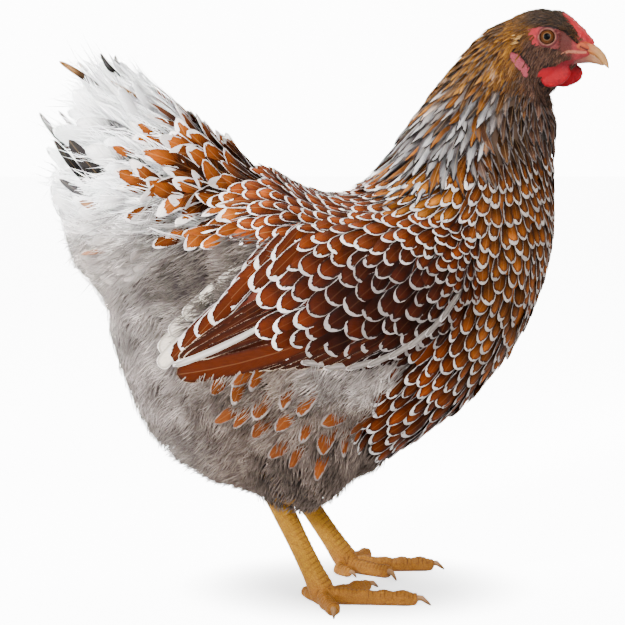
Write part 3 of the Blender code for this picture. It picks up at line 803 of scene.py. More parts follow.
def skin_colours(co):
    """Markings of the skin, from its own places on head, body and legs, with a painted highlight
    along the comb's top and painted shadow on the wattles' tops.
    """
    local = unturned(co)
    x, y, z = (local / MM).T
    out = np.abs(y)
    far = eye_gap(local)
    head = (x > 116) & (z > 330)
    dusk = ramp(x, 155, 158) * (1 - ramp(x, 163, 166))
    patch = ramp(-np.hypot((x - 141.5) / 4.5, (z - 365.5) / 6.0), -1.25, -0.7)
    ridge = ramp(z + 0.95 * (x - 160) * (x > 150), 373, 376) * (x > 149) * (out < 8)
    hanging = inside(local, WATTLE) & (out > 4) | head & (x > 155) & (z < 350)
    lobe = inside(local, EAR_LOBE) & (out > 13)
    flap = (1 - ramp(np.hypot(x - 171.2, (z - 359.8) * 1.6), 3.4, 5.0)) * (out > 3)
    slit = 1 - ramp(np.abs(z - 358.1 + 0.5 * (x - 171.6)), 0.3, 0.9)
    gape = ramp(-gap_to(local, [(156, 353.2), (162, 356.2), (172, 355.8)]), -1.1, -0.5)
    skin = layered(
        blend(FACE_MAUVE, FACE_DUSK, dusk),
        (FACE_RED, 0.9 * patch),
        (FACE_RED, 0.5 * ramp(x, 163, 167)),
        (LID_PALE, ramp(far, 4.8, 5.0) * (1 - ramp(far, 5.3, 5.6))),
        ((0.025, 0.008, 0.008), 0.8 * ramp(-np.abs(far - 6.4), -0.7, -0.2)),
        ((0.012, 0.005, 0.005), 1 - ramp(far, 4.6, 4.8)),
        (COMB_RED, ridge),
        # Pale pink along the comb's top edge: a painted highlight.
        ((0.60, 0.22, 0.20), 0.30 * ridge * ramp(z + 1.05 * (x - 160), 378, 382)),
        # The wattles darken toward their tops: painted shadow from the head above.
        (blend(WATTLE_RED, (0.13, 0.006, 0.010), ramp(z, 342, 348)), hanging),
        (LOBE_PINK, lobe),
        ((0.42, 0.085, 0.026), 0.8 * flap),
        ((0.03, 0.01, 0.01), slit * (np.abs(x - 171.6) < 3) * (out > 3)),
        ((0.42, 0.15, 0.085), 0.8 * gape))
    bare = (head & inside(local, BARE_FACE) | hanging | lobe).astype(float)
    colour = np.where(head[:, None], (0.012, 0.007, 0.006), ground_colours(co, owners(co))[0])
    legs = 1 - ramp(co[:, 2] / MM, 84, 92)
    shade = np.sin(co[:, 0] * 900) * np.sin(co[:, 2] * 1100 + co[:, 1] * 500)
    ochre = layered(
        blend(LEG_OCHRE, (0.22, 0.085, 0.012), 0.25 + 0.20 * shade),
        ((0.30, 0.105, 0.022), 0.6 * (1 - ramp(co[:, 2] / MM, 8, 24))),
        ((0.085, 0.026, 0.004), 0.9 * leg_scales(co)[1]))
    return layered(colour, (skin, bare), (ochre, legs)), bare, legs


# ----------------------------------------------------------------- feathers

# Cross-sections of a vane, as (across, through) points with the edges at -1 and 1.
BROAD = [(-1, 0), (-0.55, 0.8), (0, 1), (0.55, 0.8), (1, 0), (0, -1)]
NARROW = [(-1, 0), (0, 1), (1, 0), (0, -1)]
BLADE = [(-1, -0.4), (0, 1), (1, -0.4)]


def vane(name, stations, outline, section, ratio):
    """A closed thin feather, flat in its own measure: along 0 to 1, across -1 to 1.

    outline(u) is the half width at u, ratio the length over the half width.
    """
    us = np.array(stations, float)
    dense = np.linspace(0.04, 1, 160)
    rim_line = np.stack([dense * ratio, outline(dense)], 1)
    verts, faces, rims = [], [], []
    for u in us[:-1]:
        half = float(outline(np.array([u]))[0])
        through = 1.0 - 0.75 * u
        for v, w in section:
            verts.append((u, v * half, w * through))
            here = np.array((u * ratio, abs(v) * half))
            rims.append(np.linalg.norm(rim_line - here, axis=1).min() if abs(v) < 1 else 0.0)
    count = len(section)
    tip, root = len(verts), len(verts) + 1
    verts += [(us[-1], 0, 0), (us[0] - 0.01, 0, 0)]
    rims += [0.0, 1.0]
    for i in range(len(us) - 2):
        for k in range(count):
            a, b = i * count + k, i * count + (k + 1) % count
            faces.append((a, b, b + count, a + count))
    last = (len(us) - 2) * count
    for k in range(count):
        faces.append((last + k, last + (k + 1) % count, tip))
        faces.append(((k + 1) % count, k, root))
    return prototype(name, verts, faces, rims, [i for i, s in enumerate(section)
                                                if abs(s[0]) == 1], count, len(us) - 1)


def prototype(name, verts, faces, rims, sharp, count, rings):
    """A hidden object that a geometry tree sets on its points."""
    mesh = bpy.data.meshes.new(name)
    mesh.from_pydata(verts, [], faces)
    bm = bmesh.new()
    bm.from_mesh(mesh)
    bmesh.ops.recalc_face_normals(bm, faces=bm.faces)
    for face in bm.faces:
        face.smooth = True
    for edge in bm.edges:
        a, b = sorted(v.index for v in edge.verts)
        if b < count * rings and b - a == count and a % count in sharp:
            edge.smooth = False
    bm.to_mesh(mesh)
    bm.free()
    set_attribute(mesh, "grain", "FLOAT_VECTOR", np.array(verts, float))
    set_attribute(mesh, "rim", "FLOAT", rims)
    return bpy.data.objects.new(name, mesh)


def strands(name, paths):
    """Several thin closed blades in one tuft; each path is rows of along, across, up, half."""
    verts, faces, rims = [], [], []
    for path in paths:
        first = len(verts)
        for u, v, w, half in path[:-1]:
            for a, b in BLADE:
                verts.append((u, v + a * half, w + b * half * 0.6))
                rims.append(1.0)
        rings = len(path) - 1
        for i in range(rings - 1):
            for k in range(3):
                a, b = first + i * 3 + k, first + i * 3 + (k + 1) % 3
                faces.append((a, b, b + 3, a + 3))
        tip = len(verts)
        u, v, w, _ = path[-1]
        verts.append((u, v, w))
        rims.append(0.0)
        for k in range(3):
            faces.append((tip - 3 + k, tip - 3 + (k + 1) % 3, tip))
        faces.append((first + 2, first + 1, first))
    return prototype(name, verts, faces, rims, (), 1, 0)


def rounded(u):
    """Outline of a body feather: narrow at its root, broad and round at the tip."""
    grow = 0.30 + 0.70 * ramp(u, 0.0, 0.5)
    return grow * np.sqrt(np.clip(1 - (np.clip(u - 0.66, 0, 1) / 0.34) ** 2.2, 0, 1))


def tapered(u):
    """Outline of a tail covert: broadest before the middle, drawn in to a blunt end."""
    return (0.30 + 0.70 * ramp(u, 0.0, 0.5)) * np.clip(1 - (np.clip(u - 0.5, 0, 1) / 0.5) ** 2,
                                                       0, 1) ** 0.48


def pointed(u):
    """Outline of a hackle feather: long, parallel and drawn to a soft point."""
    return (0.35 + 0.65 * ramp(u, 0.0, 0.4)) * np.clip(1 - np.clip(u - 0.55, 0, 1) / 0.45, 0,
                                                       1) ** 0.62


def flight(u):
    """Outline of a wing quill: parallel edges and a blunt rounded tip."""
    grow = 0.55 + 0.45 * ramp(u, 0.0, 0.4)
    return grow * np.sqrt(np.clip(1 - (np.clip(u - 0.87, 0, 1) / 0.13) ** 2.2, 0, 1))


# Vanes of each kind: where their rings stand, outline, cross-section, length in half widths.
VANES = {
    "scale": ((0, 0.3, 0.5, 0.66, 0.78, 0.87, 0.94, 0.98, 1), rounded, BROAD, 5.0),
    "lance": ((0, 0.25, 0.45, 0.62, 0.78, 0.9, 1), pointed, NARROW, 14.0),
    "covert": ((0, 0.3, 0.5, 0.66, 0.8, 0.9, 0.96, 1), tapered, BROAD, 5.0),
    "short": ((0, 0.4, 0.7, 0.9, 1), pointed, BLADE, 7.0),
    "quill": ((0, 0.3, 0.55, 0.76, 0.87, 0.92, 0.96, 0.985, 1), flight, BROAD, 10.0),
}


@functools.lru_cache(maxsize=None)
def feather(kind):
    """The feather prototypes, each made once: vanes, a tuft of down and a loose plume."""
    if kind in VANES:
        return vane(kind, *VANES[kind])
    rng = np.random.default_rng(11)
    paths = []
    if kind == "tuft":
        for v0, v1, lift in ((-0.2, -1.0, 0.0), (-0.05, -0.3, 0.9), (0.1, 0.35, -0.6),
                             (0.2, 1.0, 0.3)):
            bend = rng.uniform(-0.25, 0.25)
            paths.append([(0.0, v0, 0.0, 0.16), (0.38, v0 + 0.4 * (v1 - v0), lift * 0.5, 0.20),
                          (0.74, v0 + 0.75 * (v1 - v0) + bend * 0.4, lift, 0.13),
                          (rng.uniform(0.9, 1.0), v1 + bend, lift * 1.2, 0.0)])
        return strands(kind, paths)
    paths.append([(0, 0, 0, 0.05), (0.5, 0, 0.1, 0.045), (0.9, 0, 0, 0.02), (1.0, 0, 0, 0)])
    for i in range(11):
        for hand in (-1, 1):
            u = 0.02 + 0.073 * i + rng.uniform(-0.02, 0.02)
            reach = 0.8 * math.sin(math.pi * min(0.32 + 0.063 * i, 0.86)) + 0.12
            slant = rng.uniform(0.30, 0.46)
            w = rng.uniform(-0.5, 0.5)
            paths.append([(u, 0, 0, 0.03), (u + slant * 0.4, hand * reach * 0.62, w, 0.055),
                          (u + slant, hand * reach * rng.uniform(0.7, 1.1), w * 1.8, 0.0)])
    return strands(kind, paths)


@functools.lru_cache(maxsize=None)
def feather_tree():
    """Sets a feather on each point, bends it along the point's own curve and joins all."""
    tree = bpy.data.node_groups.new("Feathers laid on points", "GeometryNodeTree")
    face = tree.interface
    for name, kind in (("Points", "Geometry"), ("Feather", "Object"), ("Finish", "Material"),
                       ("Vane thickness", "Float"), ("Tuft height", "Float")):
        face.new_socket(name, in_out="INPUT", socket_type="NodeSocket" + kind)
    face.new_socket("Feathers", in_out="OUTPUT", socket_type="NodeSocketGeometry")
    make = Maker(tree)
    given = make.node("NodeGroupInput")
    given = {s.name: Sock(make, s) for s in given.outputs if s.name}
    source = make.get("GeometryNodeObjectInfo", "Geometry", None, {"Object": given["Feather"]})
    placed = make.get("GeometryNodeInstanceOnPoints", "Instances", None,
                      {"Points": given["Points"], "Instance": source})
    solid = make.get("GeometryNodeRealizeInstances", "Geometry", None, {"Geometry": placed})
    u, v, w = make.split(make.field("grain", "FLOAT_VECTOR"))
    root, middle, tip, side = (make.field(name, "FLOAT_VECTOR")
                               for name in ("root", "middle", "tip", "side"))
    half, camber = make.field("half"), make.field("camber")
    back = 1.0 - u
    spine = root * (back * back) + middle * (back * u * 2.0) + tip * (u * u)
    way = (middle - root) * back + (tip - middle) * u
    up = make.get("ShaderNodeVectorMath", 0, {"operation": "CROSS_PRODUCT"},
                  {0: way, 1: side}, vector=True)
    up = make.get("ShaderNodeVectorMath", 0, {"operation": "NORMALIZE"}, {0: up}, vector=True)
    height = w * (given["Vane thickness"] + given["Tuft height"] * half) - camber * v * v * half
    place = spine + side * (v * half) + up * height
    bent = make.get("GeometryNodeSetPosition", "Geometry", None,
                    {"Geometry": solid, "Position": place})
    cu, cv, size = make.split(make.field("cell", "FLOAT_VECTOR"))
    patch = make.join(cu + (u - 0.5) * size, cv + v * size * 0.5)
    mapped = make.get("GeometryNodeStoreNamedAttribute", "Geometry",
                      {"data_type": "FLOAT2", "domain": "CORNER"},
                      {"Geometry": bent, "Name": "OFBake", "Value": patch})
    for name in ("root", "middle", "tip", "side", "camber", "cell"):
        mapped = make.get("GeometryNodeRemoveAttribute", "Geometry", None,
                          {"Geometry": mapped, "Name": name})
    coloured = make.get("GeometryNodeSetMaterial", "Geometry", None,
                        {"Geometry": mapped, "Material": given["Finish"]})
    result = tree.nodes.new("NodeGroupOutput")
    tree.links.new(coloured.socket, result.inputs[0])
    return tree


def run_tree(obj, tree, **values):
    """The mesh that a geometry tree makes of an object, its inputs set by identifier."""
    modifier = obj.modifiers.new("Tree", "NODES")
    modifier.node_group = tree
    for item in tree.interface.items_tree:
        key = item.name.replace(" ", "_").lower()
        if item.in_out == "INPUT" and key in values:
            modifier[item.identifier] = values[key]
    return baked(obj)


# The body's bent axis in side view, from tail to head.
BODY_AXIS = np.array([(-0.175, 0.30), (-0.10, 0.235), (-0.02, 0.175), (0.06, 0.19),
                      (0.105, 0.27), (0.125, 0.34), (0.165, 0.365)])


def unwrap(points):
    """Places on the body's own unwrap: along its bent axis, and round it, both 0 to 1."""
    axis = BODY_AXIS
    step = np.diff(axis, axis=0)
    length = np.linalg.norm(step, axis=1)
    start = np.concatenate([[0], np.cumsum(length)])
    p = points[:, (0, 2)]
    t = np.clip(((p[:, None] - axis[None, :-1]) * step).sum(-1) / length ** 2, 0, 1)
    foot = axis[None, :-1] + t[..., None] * step
    far = np.linalg.norm(p[:, None] - foot, axis=2)
    best = far.argmin(1)
    rows = np.arange(len(p))
    along = (start[best] + t[rows, best] * length[best]) / start[-1]
    out = p - foot[rows, best]
    cross = (out * np.stack([-step[best, 1], step[best, 0]], 1)).sum(1) / length[best]
    return along, np.arctan2(points[:, 1], cross) / math.tau + 0.5


def cells(points):
    """Each root's patch: its place among its neighbours on the unwrap, and its size."""
    along, round_ = unwrap(points)
    count = len(points)
    columns = max(1, int(math.sqrt(count)))
    place = np.zeros((count, 3))
    order = np.argsort(along, kind="stable")
    for c, column in enumerate(np.array_split(order, columns)):
        column = column[np.argsort(round_[column], kind="stable")]
        place[column, 0] = (c + 0.5) / columns
        place[column, 1] = (np.arange(len(column)) + 0.5) / len(column)
    place[:, 2] = max(0.003, 0.9 / (columns + 1))
    return place


class Plumage:
    """Feathers laid for one piece: their curves, sizes and colours, row by row."""

    KINDS = {"root": "FLOAT_VECTOR", "middle": "FLOAT_VECTOR", "tip": "FLOAT_VECTOR",
             "side": "FLOAT_VECTOR", "half": "FLOAT", "camber": "FLOAT", "lace": "FLOAT",
             "tone": "FLOAT", "ground": "FLOAT_COLOR", "edge": "FLOAT_COLOR"}

    def __init__(self):
        self.rows = {key: [] for key in self.KINDS}

    def add(self, **rows):
        count = len(rows["root"])
        for key, kind in self.KINDS.items():
            shape = (count,) if kind == "FLOAT" else (count, 3)
            self.rows[key].append(np.broadcast_to(np.asarray(rows[key], float), shape))

    def grown(self, name, kind, finish, thickness, tuft=0.0):
        """Makes the finished piece."""
        rows = {key: np.concatenate(value) for key, value in self.rows.items()}
        mesh = bpy.data.meshes.new(name)
        mesh.from_pydata(rows["root"].tolist(), [], [])
        for key, attribute in self.KINDS.items():
            set_attribute(mesh, key, attribute, rows[key])
        set_attribute(mesh, "cell", "FLOAT_VECTOR", cells(rows["root"]))
        made = run_tree(show(name, mesh), feather_tree(), feather=feather(kind),
                        finish=finish, vane_thickness=thickness, tuft_height=tuft)
        piece(name, made)


def curves(at, normal, way, length, depth, lift, surface, table):
    """Curves that end at given places and come back along the lie to roots in the skin."""
    length, depth, lift = (np.broadcast_to(v, (len(at),))[:, None]
                           for v in (length, depth, lift))
    mid, mid_no = surface.near(at - way * length * 0.5)
    lie = lie_at(mid, mid_no, table)
    upward = unit(way - mid_no * dot(way, mid_no) + lie * 0.8)
    base, base_no = surface.near(mid - upward * length * 0.5)
    root = base - base_no * depth
    tip = at + normal * lift
    middle = (mid - mid_no * depth * 0.2) * 2.0 - (root + tip) * 0.5
    side = unit(np.cross(mid_no, unit(tip - root)))
    return root, middle, tip, side


def spaced(points, ways, normals, across, along, order, most=5000):
    """Picks places in order so that none stands in another's oval."""
    taken = np.zeros((most, 3))
    frames = np.zeros((most, 3, 3))
    chosen = []
    aside = np.cross(normals, ways)
    for i in order:
        n = len(chosen)
        if n == most:
            break
        gap = points[i] - taken[:n]
        a, b, c = ((gap * frames[:n, k]).sum(1) for k in range(3))
        if (a * a + b * b + c * c < 1.0).any():
            continue
        taken[n] = points[i]
        frames[n, 0] = ways[i] / along[i]
        frames[n, 1] = aside[i] / across[i]
        frames[n, 2] = normals[i] / (2.0 * across[i])
        chosen.append(i)
    return np.array(chosen, int)


def shade_of(rng, count, spread):
    """Each feather's own brightness, about 1."""
    return np.exp(rng.normal(0, spread, count))[:, None]


def tilted(way, normal, rng, spread):
    """Ways turned a little to either side."""
    return unit(way + np.cross(normal, way) * rng.normal(0, spread, len(way))[:, None])


def rolled(side, normal, rng, spread):
    """Feathers' sides rolled a little up or down."""
    return unit(side + normal * rng.normal(0, spread, len(side))[:, None])


def vane_finish(name, rough=0.55, streak=0.6, dark_line=0.8, shaft=0.06, edge_side=0.22,
                under=0.5):
    """Feather vanes: ground colour, an edge of lacing widest at the tip, and barbs; toward the
    root, where neighbours lie over a vane, painted shade darkens it by under.
    """

    def build(make, shader):
        u, v, _ = make.split(make.attribute("grain", "Vector"))
        half = make.attribute("half")
        tone = make.attribute("tone")
        rim = make.attribute("rim") * half * 1000.0
        swing = make.noise(make.join(v * 2.4, u * 7.0, tone * 53.0), 1.0, 1.0)
        lace = make.attribute("lace") * (edge_side + (1.0 - edge_side)
                                         * make.step(u, 0.76, 0.96)) * (swing * 3.0 - 0.5)
        barb = make.join(u * 60.0 - abs(v) * 14.0, v * 3.0, tone * 40.0)
        grain = make.noise(barb, 1.0, 3.0, 0.6)
        fine = make.noise(make.join(u * 220.0 - abs(v) * 52.0, v * 5.0, tone * 70.0), 1.0, 2.0)
        inward = rim + (grain - 0.5) * 1.3 + (fine - 0.5) - lace
        edge = 1.0 - make.step(inward, -0.25, 0.15)
        line = make.step(inward, -0.2, 0.1) * (1.0 - make.step(inward, 0.2, 2.2))
        ground = make.attribute("ground", "Color")
        # Barb streaks darken the ground, and toward the root it darkens by under: painted shade
        # where the neighbours overlap.
        ground = make.mix(ground, (0.0, 0.0, 0.0), (grain - 0.30) * streak
                          + (1.0 - make.step(u, 0.50, 0.94)) * under)
        ground = make.mix(ground, (1.0, 0.62, 0.30), (1.0 - make.step(abs(v), 0.02, 0.07)) * shaft,
                          "SCREEN")
        ground = make.mix(ground, (0.006, 0.004, 0.004), line * dark_line)
        # The lace has random grey flecks, and goes greyer toward the root: painted shade where the
        # neighbours overlap.
        rim_colour = make.mix(make.attribute("edge", "Color"), (0.12, 0.10, 0.10),
                              make.step(fine, 0.48, 0.75) * 0.60
                              + (1.0 - make.step(u, 0.6, 0.9)) * 0.35)
        colour = make.mix(ground, rim_colour, edge * make.step(lace, 0.0, 0.1))
        feed(make, shader, Base_Color=colour, Normal=make.bump(fine + grain, 0.45, 0.0005),
             Roughness=rough, Specular_IOR_Level=0.03)

    return finish_of(name, build)


def down_finish(name):
    """Down and loose barbs: soft colour from root to tip."""

    def build(make, shader):
        u = make.split(make.attribute("grain", "Vector"))[0]
        colour = make.mix(make.attribute("ground", "Color"), make.attribute("edge", "Color"),
                          make.step(u, 0.25, 0.95))
        feed(make, shader, Base_Color=colour, Roughness=0.8, Specular_IOR_Level=0.04)

    return finish_of(name, build)


# ---------------------------------------------------------------- the tracts

def rear_edge(height):
    """How far back feather tips reach at a height."""
    return np.interp(height / MM, (100, 124, 150, 170, 190, 206, 226, 256, 284),
                     (-118, -116, -123, -128, -134, -146, -158, -162, -187)) * MM


class Tract:
    """Feather tips of one field on one side, with their lie and size.

    where bounds the field as x and z ranges in millimetres, and keep(at, owner) picks from
    it.  With a start the tips are spread evenly outwards from there.
    """

    def __init__(self, hand, rng, count, where, keep, table=BODY_LIE, start=None, across=0.74,
                 along=1.0, surface=None):
        surface = surface or shell()
        x0, x1, z0, z1 = where

        def here(middle):
            x, z = middle[:, 0] / MM, middle[:, 2] / MM
            return (middle[:, 1] * hand > -0.002) & (x > x0) & (x < x1) & (z > z0) & (z < z1)

        at, normal = surface.scattered(count, here, rng)
        owner = owners(at)
        chosen = keep(at, owner)
        self.at, self.normal, self.owner = at[chosen], normal[chosen], owner[chosen]
        self.way = lie_at(self.at, self.normal, table)
        row = table_at(self.at, table, 10.0 if table is HACKLE_LIE else 16.0)
        self.width, self.bare = row[:, 2] * MM, row[:, 3] * MM
        self.surface, self.table, self.rng = surface, table, rng
        if start is not None:
            near = np.linalg.norm(self.at - start, axis=1)
            order = np.argsort(near + rng.normal(0, 0.0016, len(near)))
            size = rng.uniform(0.84, 1.16, len(near))
            self.only(spaced(self.at, self.way, self.normal, self.width * across * size,
                             self.bare * along * size, order))

    def only(self, pick):
        """Keeps the picked places alone."""
        for key in ("at", "normal", "owner", "way", "width", "bare"):
            setattr(self, key, getattr(self, key)[pick])

    def __len__(self):
        return len(self.at)

    def laid(self, coat, length, depth, lift, half, ground, edge, lace=0.0, camber=0.2,
             turn=0.07, roll=0.12):
        """Adds the tract's feathers to a coat."""
        rng, count = self.rng, len(self)
        way = tilted(self.way, self.normal, rng, turn)
        root, middle, tip, side = curves(self.at, self.normal, way, length, depth, lift,
                                         self.surface, self.table)
        loose = np.minimum(rng.gamma(1.6, 2.2, count), 9.0) * MM
        tip[:, 0] = np.maximum(tip[:, 0], rear_edge(tip[:, 2]) - loose)
        coat.add(root=root, middle=middle, tip=tip, side=rolled(side, self.normal, rng, roll),
                 half=half, camber=camber, lace=lace, tone=rng.random(count), ground=ground,
                 edge=edge)


def laced(coat, tract, lace, depth=6.0, stretch=2.6, lift=1.3, roll=0.16, turn=0.11,
          vary=(0.55, 1.35)):
    """Laced feathers on all of a tract's places."""
    rng, count = tract.rng, len(tract)
    ground, edge = ground_colours(tract.at, tract.owner)
    tract.laid(coat, tract.bare * stretch * rng.uniform(0.9, 1.1, count), depth * MM,
               rng.uniform(0.2, 1.0, count) * lift * MM,
               tract.width * 0.5 * rng.uniform(0.8, 1.12, count),
               ground * shade_of(rng, count, 0.28), edge * shade_of(rng, count, 0.16),
               lace=lace * rng.uniform(*vary, count), camber=0.22, turn=turn, roll=roll)


# Which places bear which plumage, by their owner and field.

def on_body(at, owner):
    body = (owner == "trunk") | np.char.startswith(owner, "thigh")
    wing = is_wing(owner) & ~inside(at, WING_COVERTS)
    nape = (owner == "neck") & (at[:, 2] < 0.270) & (at[:, 0] < 0.105)
    return (body | wing | nape) & inside(at, LACED_FIELD)


def on_wing(at, owner):
    return is_wing(owner) & inside(at, WING_COVERTS)


def on_tail_coverts(at, owner):
    return inside(at, COVERT_FIELD) & ((owner == "tail") | (owner == "trunk"))


def on_pale_tail(at, owner):
    return (owner == "tail") & ~inside(at, COVERT_FIELD)


def sides(sizes, step):
    """Each side's name and hand, with the random numbers that its feathers draw."""
    for word, hand in SIDES:
        yield word, hand, np.random.default_rng(sizes.seed + step)


class HEN_PG_coat(bpy.types.PropertyGroup):
    """Sizes of the coat that a user would change."""

    lace_width: bpy.props.FloatProperty(
        name="Lace width", description="Width of the pale edge on a body feather",
        default=1.9 * MM, min=0.0, soft_max=4 * MM, unit="LENGTH")
    wing_lace_width: bpy.props.FloatProperty(
        name="Wing lace width", description="Width of the pale edge on a wing covert",
        default=2.3 * MM, min=0.0, soft_max=5 * MM, unit="LENGTH")
    vane_thickness: bpy.props.FloatProperty(
        name="Vane thickness", description="Half thickness of a feather's vane at its root",
        default=0.14 * MM, min=0.05 * MM, soft_max=1 * MM, unit="LENGTH")
    down_length: bpy.props.FloatProperty(
        name="Down length", description="Length of the down on the rear and belly",
        default=24 * MM, min=5 * MM, soft_max=40 * MM, unit="LENGTH")
    down_count: bpy.props.IntProperty(
        name="Down tufts", description="Number of down tufts on each side",
        default=6000, min=100, soft_max=12000)
    seed: bpy.props.IntProperty(
        name="Seed", description="Seed of the coat's small irregularities", default=3)


class HEN_OT_skin(bpy.types.Operator):
    """Make the one skin under the coat, from head to toes"""

    bl_idname = "hen.skin"
    bl_label = "Skin"

    def execute(self, context):
        mesh = united([body_form(), head_form(), leg_form()])
        colour, bare, legs = skin_colours(arrays(mesh)[0])
        set_attribute(mesh, "marking", "FLOAT_COLOR", colour)
        set_attribute(mesh, "bare", "FLOAT", bare)
        set_attribute(mesh, "scaly", "FLOAT", legs)
        mesh.shade_smooth()
        mesh.materials.clear()
        mesh.materials.append(skin_finish())
        piece("skin", mesh, COATED + HEAD_TRIM + FEET)
        return {"FINISHED"}


def skin_finish():
    """Bare face and comb with fine pits, legs with small scales, dull under feathers."""

    def build(make, shader):
        at = make.get("ShaderNodeTexCoord", "Object", vector=True)
        bare, scaly = make.attribute("bare"), make.attribute("scaly")
        pits = make.get("ShaderNodeTexVoronoi", 0, None, {"Vector": at, "Scale": 900.0})
        scales = make.get("ShaderNodeTexVoronoi", 0, {"feature": "DISTANCE_TO_EDGE"},
                          {"Vector": at, "Scale": 620.0})
        blotch = make.noise(at, 420.0, 4.0, 0.6)
        colour = make.layered(
            make.attribute("marking", "Color"),
            ((0.07, 0.010, 0.012), make.step(blotch, 0.45, 0.8) * bare * 0.6),
            ((0.65, 0.22, 0.20), make.step(pits, 0.35, 0.0) * bare * 0.05),
            ((0.10, 0.035, 0.006), (1.0 - make.step(scales, 0.0, 0.12)) * scaly * 0.6),
            ((0.16, 0.055, 0.010), make.step(blotch, 0.50, 0.75) * scaly * 0.5))
        height = (pits * bare) * 0.8 + make.step(scales, 0.0, 0.2) * scaly
        feed(make, shader, Base_Color=colour, Normal=make.bump(height, 0.5, 0.0005),
             Roughness=0.72 - bare * 0.25 - scaly * 0.25, Specular_IOR_Level=0.12)

    return finish_of("skin", build)


def closed_on(co, no):
    """The lower beak filled up against the upper, its lower side left in place."""
    local = unturned(co)
    x = local[:, 0] / MM
    local[:, 2] += (0.5 + 1.7 * ramp(no[:, 2], -0.5, 0.5)) * MM * ramp(x, 164, 176)
    return turned(local)


def horn_piece(name, nodes, size, rounds, finish, paint, shift=None):
    """A finely meshed, smoothed and painted piece of horn that stands for CAD nodes."""
    mesh = remeshed(merged_nodes(nodes, 0.12 * MM), size, rounds)
    co, no, _ = arrays(mesh)
    if shift:
        co = shift(co, no)
        set_points(mesh, co)
    set_attribute(mesh, "marking", "FLOAT_COLOR", paint(co))
    mesh.shade_smooth()
    mesh.materials.append(finish)
    piece(name, mesh, nodes)


def horn_finish(name, rough):
    """Horn with fine streaks over its marking."""

    def build(make, shader):
        at = make.get("ShaderNodeTexCoord", "Object", vector=True)
        streak = make.noise(at * (900.0, 900.0, 2600.0), 0.4, 3.0)
        colour = make.mix(make.attribute("marking", "Color"), (0.10, 0.04, 0.015),
                          make.step(streak, 0.55, 0.85) * 0.35)
        feed(make, shader, Base_Color=colour, Normal=make.bump(streak, 0.15, 0.0003),
             Coat_Weight=0.08, Specular_IOR_Level=0.25, Roughness=rough)

    return finish_of(name, build)


def upper_beak_colours(co):
    x = unturned(co)[:, 0] / MM
    colour = blend((0.30, 0.050, 0.028), (0.36, 0.125, 0.036), ramp(x, 171, 176))
    return blend(colour, (0.42, 0.205, 0.068), ramp(x, 175, 182))


def lower_beak_colours(co):
    x = unturned(co)[:, 0] / MM
    # Darker and redder at the base: partly the lower beak's own colour, partly painted shade under
    # the upper beak.
    return blend((0.15, 0.036, 0.028), (0.30, 0.145, 0.060), ramp(x, 168, 182))


def claw_colours(co):
    z = co[:, 2] / MM
    return blend((0.30, 0.150, 0.055), (0.12, 0.050, 0.018), 1 - ramp(z, 1.0, 6.0))


class HEN_OT_horn(bpy.types.Operator):
    """Make the beak's two halves and the claws"""

    bl_idname = "hen.horn"
    bl_label = "Beak and claws"

    def execute(self, context):
        beak = horn_finish("beak_horn", 0.38)
        for part, paint, shift in (("beak_upper", upper_beak_colours, None),
                                   ("beak_lower", lower_beak_colours, closed_on)):
            horn_piece(part + "_horn", [part], 0.42 * MM, 4, beak, paint, shift)
        claws = ["claw%d_%s" % (n, word) for word, _ in SIDES for n in (1, 2, 3, 4)]
        horn_piece("claws", claws, 0.36 * MM, 3, horn_finish("claw_horn", 0.42), claw_colours)
        return {"FINISHED"}


class HEN_OT_eyes(bpy.types.Operator):
    """Make the two eyes"""

    bl_idname = "hen.eyes"
    bl_label = "Eyes"

    def execute(self, context):
        finish = eye_finish()
        for word, hand in SIDES:
            flip = np.array((1, hand, 1))
            centre = turned(EYE * flip)
            axis = Vector(turned((EYE + EYE_AXIS * MM) * flip) - centre).normalized()
            bm = bmesh.new()
            bmesh.ops.create_uvsphere(bm, u_segments=48, v_segments=48, radius=EYE_RADIUS)
            polar = [math.acos(max(-1.0, min(1.0, v.co.z / EYE_RADIUS))) for v in bm.verts]
            spin = Vector((0, 0, 1)).rotation_difference(axis).to_matrix()
            for vert, angle in zip(bm.verts, polar):
                bulge = 1 + 0.035 * (1 - float(ramp(angle, 0.0, 0.75)))
                vert.co = spin @ (vert.co * bulge) + Vector(centre)
            mesh = bpy.data.meshes.new("eyeball")
            bm.to_mesh(mesh)
            bm.free()
            set_attribute(mesh, "polar", "FLOAT", polar)
            mesh.shade_smooth()
            mesh.materials.append(finish)
            piece("eyeball_" + word, mesh, ["eye_" + word])
        return {"FINISHED"}


def eye_finish():
    """Black pupil, pale inner ring, brown-orange iris and a dark outer ring."""

    def build(make, shader):
        polar = make.attribute("polar")
        at = make.get("ShaderNodeTexCoord", "Object", vector=True)
        flecks = make.noise(at, 1500.0, 3.0, 0.6)
        colour = make.mix((0.055, 0.017, 0.004), (0.020, 0.007, 0.003),
                          make.step(polar, 0.50, 0.62))
        colour = make.mix(colour, (0.12, 0.045, 0.012), make.step(flecks, 0.45, 0.7) * 0.35)
        colour = make.mix((0.105, 0.055, 0.024), colour, make.step(polar, 0.335, 0.40))
        colour = make.mix((0.0015, 0.0015, 0.0015), colour, make.step(polar, 0.275, 0.30))
        colour = make.mix(colour, (0.006, 0.003, 0.003), make.step(polar, 0.64, 0.70))
        feed(make, shader, Base_Color=colour, Coat_Weight=0.13, Coat_Roughness=0.03,
             Roughness=0.3, Specular_IOR_Level=0.0)

    return finish_of("eye", build)


